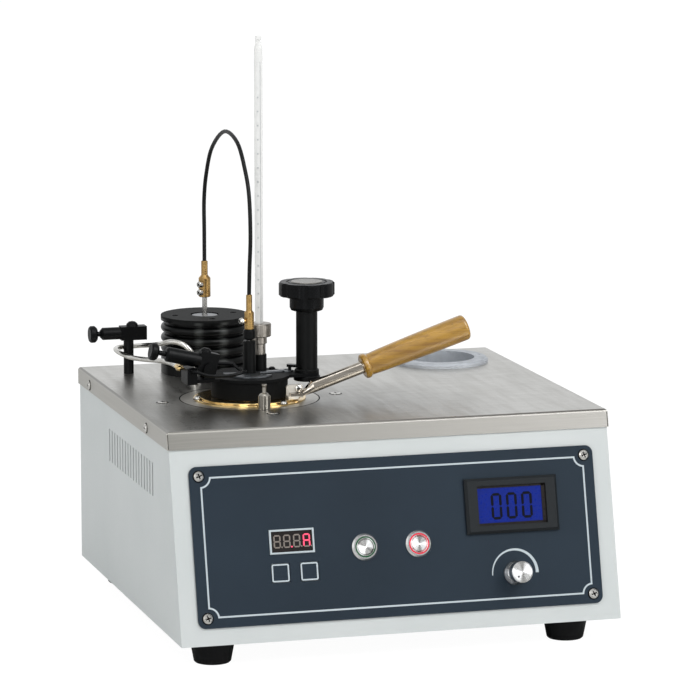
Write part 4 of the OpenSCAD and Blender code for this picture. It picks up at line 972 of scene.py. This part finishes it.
def aimed(point, direction):
    """A place whose +Z looks along a direction."""
    turn = Vector((0, 0, 1)).rotation_difference(Vector(direction).normalized())
    return Matrix.Translation(point) @ turn.to_matrix().to_4x4()


def screws(name, body, places, radius, height, material):
    """Screws of one size: their domes are one piece, and the painted shade of their crosses
    another.
    """
    heads, recess_shades = bmesh.new(), bmesh.new()
    for place in places:
        screw_head(place, radius, height, heads)
        cross_bars(place, radius * 0.55, radius * 0.12, height * 0.94, 0.1 * height, recess_shades)
    keep(heads, name, body, material)
    keep(recess_shades, name + "_cross_shade", body, seam_and_shade_black)


# %% [markdown]
# Three of these screws hold the brass ring round the cup, each with a thin shadow round it.
# One holds the cup's bracket, and one the plate on the lid.

# %% Screws of the ring, the bracket and the lid
SEAT_TOP = 1.2
RING_RADIUS = 42
RING_ANGLES = (180, -66, 57)
RIM_THICK = 0.1
BRACKET_SCREW = (33.6, -21.7, 9.8)
CARRIER_SCREW = (23, 17.4, 19)
ring_places = [upright(on_stove(*on_circle(0, 0, RING_RADIUS, angle), SEAT_TOP), angle)
               for angle in RING_ANGLES]
screws("seat_ring_screws", "housing", ring_places, radius=2.6, height=2.4,
       material=screw_steel)
# Painted shadow: a thin dark ring round each screw's head.
ring_rim_shadows = bmesh.new()
for spot in ring_places:
    spun(ring_profile(2.5, 3.4, 0, RIM_THICK), spot, 32, ring_rim_shadows)
keep(ring_rim_shadows, "seat_ring_screw_rims", "housing", seam_and_shade_black)
screws("bracket_screw", "cup", [aimed(on_stove(*BRACKET_SCREW), (0, -1, 0))],
       radius=2.9, height=2.1, material=screw_steel)
screws("carrier_screw", "lid", [upright(on_stove(*CARRIER_SCREW), 20)],
       radius=2.6, height=1.8, material=black_satin)

# %% [markdown]
# The larger screws are solids already. What still shows of such a screw is the thin shadow
# round its head and the shade in its recess, so a flat dark ring of painted shadow and two
# dark bars of painted shade go there.

# %% Rims and recesses of the solid screws
SIDE_SCREW_DOWN = -8.3
SIDE_SCREWS_AT = (64, 258)
STOVE_SCREWS_OUT = 70
PANEL_SCREWS_X = (22.4, 327.6)
PANEL_SCREWS_SLOPE = (34.9, 141.6)
PANEL_SCREW_TURN = 20


def screw_details(name, places, radius, height):
    """A dark rim of painted shadow round the CAD heads, and dark bars of painted shade down in
    their cross recesses.
    """
    rim_shadows, recess_shades = bmesh.new(), bmesh.new()
    for place in places:
        spun(ring_profile(radius - 0.3, radius + 0.8, 0, RIM_THICK), place, 32, rim_shadows)
        cross_bars(place, radius * 0.6, radius * 0.16, height * 0.36, 0.12 * height, recess_shades)
    keep(rim_shadows, name + "_rims", "housing", seam_and_shade_black)
    keep(recess_shades, name + "_recess_shade", "housing", seam_and_shade_black)


side_spots = [aimed(on_top(x, y, SIDE_SCREW_DOWN), (way, 0, 0)) for y in SIDE_SCREWS_AT
              for x, way in ((0, -1), (TOP_WIDTH, 1))]
stove_spots = [upright(on_stove(x * STOVE_SCREWS_OUT, y * STOVE_SCREWS_OUT), turn)
               for x, y, turn in ((1, 0, 0), (0, 1, 90), (-1, 0, 180), (0, -1, 270))]
panel_spots = [front_place(x, slope, PANEL_THICK) @ turned(PANEL_SCREW_TURN)
               for x in PANEL_SCREWS_X for slope in PANEL_SCREWS_SLOPE]
screw_details("side_screws", side_spots, radius=3.4, height=1.6)
screw_details("stove_screws", stove_spots, radius=4.2, height=0.7)
screw_details("panel_corner_screws", panel_spots, radius=3.8, height=2.1)

# %% [markdown]
# The two brass couplings are clamped by small screws from the side, which turn with them.
# Over the stirrer's bearing sits a black collar, spun from its profile.


# %% Clamp screws and the collar
def clamp_screws(name, body, axis, turn, heights, out, radius):
    """Bright screws whose domes cover the side screws of a coupling."""
    way = Vector((math.cos(math.radians(turn)), math.sin(math.radians(turn)), 0))
    spots = [aimed(on_top(axis.x + way.x * out, axis.y + way.y * out, z), way) for z in heights]
    screws(name, body, spots, radius, 3.0, screw_steel)


clamp_screws("motor_clamp_screws", "motor", MOTOR, turn=218, heights=(65.1, 71.5), out=5.2,
             radius=2.7)
clamp_screws("stirrer_clamp_screw", "stirrer", STOVE, turn=196, heights=(61.4,), out=6.0,
             radius=2.6)

COLLAR = [(1.7, 46), (2.4, 46), (2.4, 46.4), (3.9, 46.8), (4.7, 47.6), (4.7, 53.5), (4.1, 54.35),
          (1.7, 54.35), (1.7, 46)]
keep(spun(COLLAR, upright(on_stove(0, 0)), 48), "stirrer_collar", "stirrer",
     black_satin)

# %% [markdown]
# ## Stirrer drive
# The flexible shaft is a black-covered spring. Its CAD tube has flat sides, so a round one
# on the same points takes its place. The points are the CAD model's own, and a smooth curve
# through them is swept by a circle.

# %% Smooth tubes
def smooth_points(points, steps=6):
    """Points of a smooth curve through the given points."""
    result = []
    for i in range(len(points) - 1):
        a, b = points[max(i - 1, 0)], points[i]
        c, d = points[i + 1], points[min(i + 2, len(points) - 1)]
        for k in range(steps):
            t = k / steps
            result.append(0.5 * (2 * b + (c - a) * t + (2 * a - 5 * b + 4 * c - d) * t * t
                                 + (3 * b - a - 3 * c + d) * t ** 3))
    return result + [points[-1]]


def tube(points, radius, sides=20):
    """Sweeps a circle of some radius in millimetres along points in metres."""
    bm = bmesh.new()
    path = smooth_points(points)
    side = Vector((1, 0, 0))
    rings = []
    for i, point in enumerate(path):
        ahead = (path[min(i + 1, len(path) - 1)] - path[max(i - 1, 0)]).normalized()
        side = (side - ahead * side.dot(ahead)).normalized()
        facing = Matrix((side, ahead.cross(side), ahead)).transposed().to_4x4()
        ring = bmesh.ops.create_circle(bm, segments=sides, radius=radius * MM,
                                       matrix=Matrix.Translation(point) @ facing,
                                       cap_ends=i in (0, len(path) - 1))
        rings.append(ring["verts"])
    for lower, upper in zip(rings, rings[1:]):
        loops = [edge for ring in (lower, upper) for edge in
                 {e for v in ring for e in v.link_edges if e.other_vert(v) in ring}]
        bmesh.ops.bridge_loops(bm, edges=loops)
    return bm


# %% [markdown]
# The shaft's arch is given as shares of the way from the motor to the stirrer, each with its
# height above the top. A straight tip at each end goes down into its coupling.

# %% The flexible shaft
MOTOR_TOP = 90.2
HUB_TOP = 81.7
TIP_GAP = 0.35
TIP_RADIUS, TIP_LENGTH = 1.5, 10
CABLE_RADIUS = 1.6
ARCH = ((0, 115), (0, 140), (0.055, 162), (0.19, 185), (0.475, 202), (0.76, 197), (0.93, 177),
        (1.01, 158), (1.035, 128), (1.012, 102))


def drive_shaft():
    """The arch of the shaft, with a straight tip in each coupling."""
    points = [on_top(MOTOR.x, MOTOR.y, MOTOR_TOP + TIP_GAP)]
    for share, height in ARCH:
        spot = MOTOR.lerp(STOVE, share)
        points.append(on_top(spot.x, spot.y, height))
    points.append(on_top(STOVE.x, STOVE.y, HUB_TOP + TIP_GAP))
    bm = tube(points, CABLE_RADIUS)
    for end in (points[0], points[-1]):
        place = upright(end - Vector((0, 0, TIP_LENGTH * MM)))
        spun(rod_profile(TIP_RADIUS, TIP_LENGTH), place, 20, bm)
    return bm


shaft = keep(drive_shaft(), "drive_cable_round", "lid", flex_cover)
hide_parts("drive_cable")

# %% [markdown]
# ## Gas lines
# The chromed pipe comes out of the top behind the stove, loops round the gas post and ends
# at the union on the lid. The thin pilot line leaves the gas block and crosses the lid.

# %% Gas pipe and pilot line
PIPE_RADIUS = 2
PIPE_ROUTE = ((72, 195, 0), (72, 195, 14), (70, 196, 24), (64, 199, 31), (56, 206, 33),
              (50, 217, 30), (46, 236, 26), (42, 259, 22), (35, 269, 20), (27, 269, 19.6),
              (22.6, 261, 19.4), (24.5, 251, 17.8), (29, 236, 16.8), (33, 205, 20),
              (38, 165, 25))
UNION_END = Vector((STOVE.x - 57, STOVE.y + 5, 27))


def gas_line():
    """The pipe, with the collar where it comes out of the top."""
    end = UNION_END + Vector((0, TIP_GAP, 0))
    route = [Vector(p) for p in PIPE_ROUTE]
    route += [end + Vector((0, 16, -0.4)), end + Vector((0, 5, 0)), end]
    bm = tube([on_top(*p) for p in route], PIPE_RADIUS, 24)
    collar = [(2.1, 0), (4.4, 0), (4.4, 1.4), (3.4, 2.4), (2.1, 2.4), (2.1, 0)]
    return spun(collar, upright(on_top(*PIPE_ROUTE[0])), 32, bm)


pipe = keep(gas_line(), "gas_pipe_bent", "housing", pipe_chrome)
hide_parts("gas_pipe")

PILOT_RADIUS = 1.3
PILOT_ROUTE = ((-50.3, -16, 26), (-50.3, -18, 26), (-50.3, -20.5, 26.6),
               (-47.3, -23.4, 26.2), (-38.3, -24.6, 23.6), (-26.3, -24.4, 22.8), (-18, -24, 23.4),
               (-11.5, -22.5, 24.4), (-8, -18.5, 24.6))
pilot = keep(tube([on_stove(*p) for p in PILOT_ROUTE], PILOT_RADIUS, 16),
             "pilot_tube_bent", "lid", black_satin)
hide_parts("pilot_tube")

# %% [markdown]
# ## Thermometer
# Inside the rod are a white backing strip and, at its foot, a thread of liquid metal. The
# bore's thin line and the faint dots of the scale would be lost inside it, so they lie on
# its surface, turned to the front. The dots are small plates at an even step.

# %% Strip, thread and scale of the thermometer
THERMO = (11.9, 14.5)
FACING = -16
STEM_RADIUS = 3.3
STRIP_WIDE, STRIP_THICK, STRIP_BACK = 4.8, 0.5, 0.9
STRIP_LOW, STRIP_HIGH = 48, 279
THREAD_LOW, THREAD_LONG, THREAD_RADIUS = -28, 66, 0.3
BORE_LONG, BORE_RADIUS, BORE_AT = 214, 0.2, (1.5, -2.94)
SCALE_LOW, SCALE_HIGH = 68.8, 250
MARK_STEP = 11
MARK_SIZE, MARK_THICK, MARK_LEFT = 1.1, 0.2, -1.0


def in_rod(x, y, height):
    """The place at x, y from the rod's axis and at a height, turned to the front."""
    return upright(on_stove(*THERMO, height), FACING) @ shifted(x, y)


def strip(wide, thick, tall, place, bm=None):
    """Adds an upright strip round the +Z axis of `place`."""
    outline = rectangle(-wide / 2, -thick / 2, wide / 2, thick / 2)
    return plate(outline, tall, place, bm)


def scale_marks():
    """A row of dots along the rod's left edge."""
    bm = bmesh.new()
    for i in range(int((SCALE_HIGH - SCALE_LOW) / MARK_STEP)):
        place = in_rod(MARK_LEFT + MARK_SIZE / 2, -STEM_RADIUS - 0.05, SCALE_LOW + i * MARK_STEP)
        strip(MARK_SIZE, MARK_THICK, MARK_SIZE, place, bm)
    return bm


backing = strip(STRIP_WIDE, STRIP_THICK, STRIP_HIGH - STRIP_LOW, in_rod(0, STRIP_BACK, STRIP_LOW))
keep(backing, "thermometer_backing", "thermometer", glowing_scale_white)
thread_place = upright(on_stove(*THERMO, THREAD_LOW))
keep(spun(rod_profile(THREAD_RADIUS, THREAD_LONG), thread_place, 12), "thermometer_mercury",
     "thermometer", shaft_steel)
keep(spun(rod_profile(BORE_RADIUS, BORE_LONG), in_rod(*BORE_AT, STRIP_LOW), 10),
     "thermometer_bore", "thermometer", mark_grey)
keep(scale_marks(), "thermometer_marks", "thermometer", mark_grey)

# %% [markdown]
# ## Seams, and shade round the stove
# The folded skirt has a thin dark seam near each end of the front, and a thin black piece
# stands for each. The shade in the gap where the stove plate sits in its hole is painted
# too: a thin black ring.

# %% Seams and the shade round the stove
SEAM_SPOTS = ((0.5, 1.0), (349.0, 349.5))
SEAM_LOW, SEAM_HIGH = -13.6, -2.4
SEAM_THICK = 0.06
GAP_SHADE_INNER, GAP_SHADE_OUTER = 54.2, 55.1
GAP_SHADE_LOW, GAP_SHADE_HIGH = -0.6, 0.04

seams = bmesh.new()
for left, right in SEAM_SPOTS:
    plate(rectangle(left, SEAM_LOW, right, SEAM_HIGH), SEAM_THICK,
          front_place(0, 0, SHEET_STEP * math.cos(LEAN)), seams)
keep(seams, "corner_seams", "housing", seam_and_shade_black)

# Painted shade: a black ring in the gap round the stove plate.
gap_shade = spun(ring_profile(GAP_SHADE_INNER, GAP_SHADE_OUTER, GAP_SHADE_LOW, GAP_SHADE_HIGH), upright(on_stove(0, 0)), 96)
keep(gap_shade, "stove_gap_shade", "housing", seam_and_shade_black)

# %% [markdown]
# ## Caps
# A metal cap closes the star knob's top, and a bright bearing disc lies round the motor's
# shaft. Both are low discs with a broken edge. The second has a hole for the shaft.

# %% Caps and discs
STAR = (46, -2)
STAR_TOP = 90.4
BROKEN_EDGE = 0.3


def disc(place, radius, height, inner=0.0):
    """A low disc with a broken upper edge, and a hole where `inner` is given."""
    profile = [(inner, 0), (radius, 0), (radius, height - BROKEN_EDGE),
               (radius - BROKEN_EDGE, height), (inner, height)]
    if inner:
        profile.append((inner, 0))
    return spun(profile, place, 48)


star_cap = disc(upright(on_stove(*STAR, STAR_TOP)), radius=12.3, height=0.5)
keep(star_cap, "star_knob_cap", "star_knob", dark_cap)
motor_cap = disc(upright(MOTOR_AT), radius=10.6, height=0.6, inner=2.6)
keep(motor_cap, "motor_bearing_cap", "housing", cap_metal)

# %% [markdown]
# ## Floor, backdrop and light
# The photograph has a plain white ground. A sheet that bends up behind the tester would
# show its own shade, so the floor is white to the camera and still takes a soft shadow.

# %% Floor
FLOOR_SIZE = 12
EYE_WHITE = 1.1
FLOOR_WHITE = 0.88


def pale_floor():
    """A floor that is mostly plain white to the eye, and takes the rest from the light."""
    bm = bmesh.new()
    bmesh.ops.create_grid(bm, x_segments=1, y_segments=1, size=FLOOR_SIZE / 2)
    mesh = bpy.data.meshes.new("floor")
    bm.to_mesh(mesh)
    bm.free()
    floor = bpy.data.objects.new("floor", mesh)
    put_in_scene(floor)
    finish = Finish("floor", Roughness=0.9)
    finish.feed(Base_Color=paint("f4f4f3"))
    glow = finish.node("ShaderNodeEmission", None, {
        "Color": (1, 1, 1, 1), "Strength": EYE_WHITE})
    lit = Reading(finish, finish.shader.outputs[0])
    finish.show(finish.node("ShaderNodeMixShader", None, {
        0: finish.seen() * FLOOR_WHITE, 1: lit, 2: glow}), "Material Output")
    floor.data.materials.append(finish.material)
    return floor


pale_floor()

# %% [markdown]
# The world is white to the eye and a plain light on dull surfaces, but a studio with
# bright walls and upright strips in mirrors, because metal needs something to mirror. A wall
# is where it starts and ends, a strip its angle, half width and strength.

# %% World
WORLD_LIGHT = 0.62
BACK_WALL = (0.2, 0.75, 0.0, 0.95)
CEILING = (0.35, 0.95, 0.0, 0.75)
DARK_WALL = 0.55
SKY = (0.97, 0.985, 1.0, 1)
SOFT = "SMOOTHSTEP"
STRIPS = ((-29, 6, 4.5), (39, 7, 5.0), (-88, 9, 1.2))


def studio_world():
    """White to the eye, plain as a light, and a studio with dark and bright walls in mirrors."""
    world = bpy.data.worlds.new("studio")
    bpy.context.scene.world = world
    world.use_nodes = True
    graph = Graph(world.node_tree)

    def light(colour, strength):
        return graph.node("ShaderNodeBackground", None, {"Color": colour, "Strength": strength})

    x, y, z = graph.axes(graph.node("ShaderNodeTexCoord", output="Generated"))
    around = x.arctan2(y * -1)
    walls = y.clamped(*BACK_WALL, SOFT).maximum(z.clamped(*CEILING, SOFT))
    for middle, half, bright in STRIPS:
        off = (around - math.radians(middle)).absolute()
        walls = walls.maximum(off.clamped(
            math.radians(half), math.radians(half * 1.8), bright, 0, SOFT))
    mirrored = graph.node("ShaderNodeMixShader", None, {
        0: graph.node("ShaderNodeLightPath", output="Is Glossy Ray"),
        1: light(SKY, WORLD_LIGHT), 2: light(SKY, walls.maximum(DARK_WALL))})
    graph.show(graph.node("ShaderNodeMixShader", None, {
        0: graph.seen(), 1: mirrored, 2: light((1, 1, 1, 1), EYE_WHITE)}), "World Output")


studio_world()

# %% [markdown]
# Two square lamps model the form: a strong one from the right, in front and above, and a
# weak one from the left, which only lifts the shadows.


# %% Lamps
def soft_box(name, place, look_at, side, power):
    """A square lamp that looks at a point."""
    data = bpy.data.lights.new(name, "AREA")
    data.size = side
    data.energy = power
    lamp = bpy.data.objects.new(name, data)
    lamp.location = place
    toward = Vector(look_at) - Vector(place)
    lamp.rotation_euler = toward.to_track_quat("-Z", "Y").to_euler()
    put_in_scene(lamp)


MIDDLE = (0, 0, 0.15)
soft_box("key", (1.2, -2.2, 2.4), MIDDLE, side=1.6, power=42)
soft_box("fill", (-2.6, -1.2, 1.3), MIDDLE, side=1.4, power=9)
print("lamps:", len(bpy.data.lights))
scene = bpy.context.scene
scene.view_settings.view_transform = "Standard"
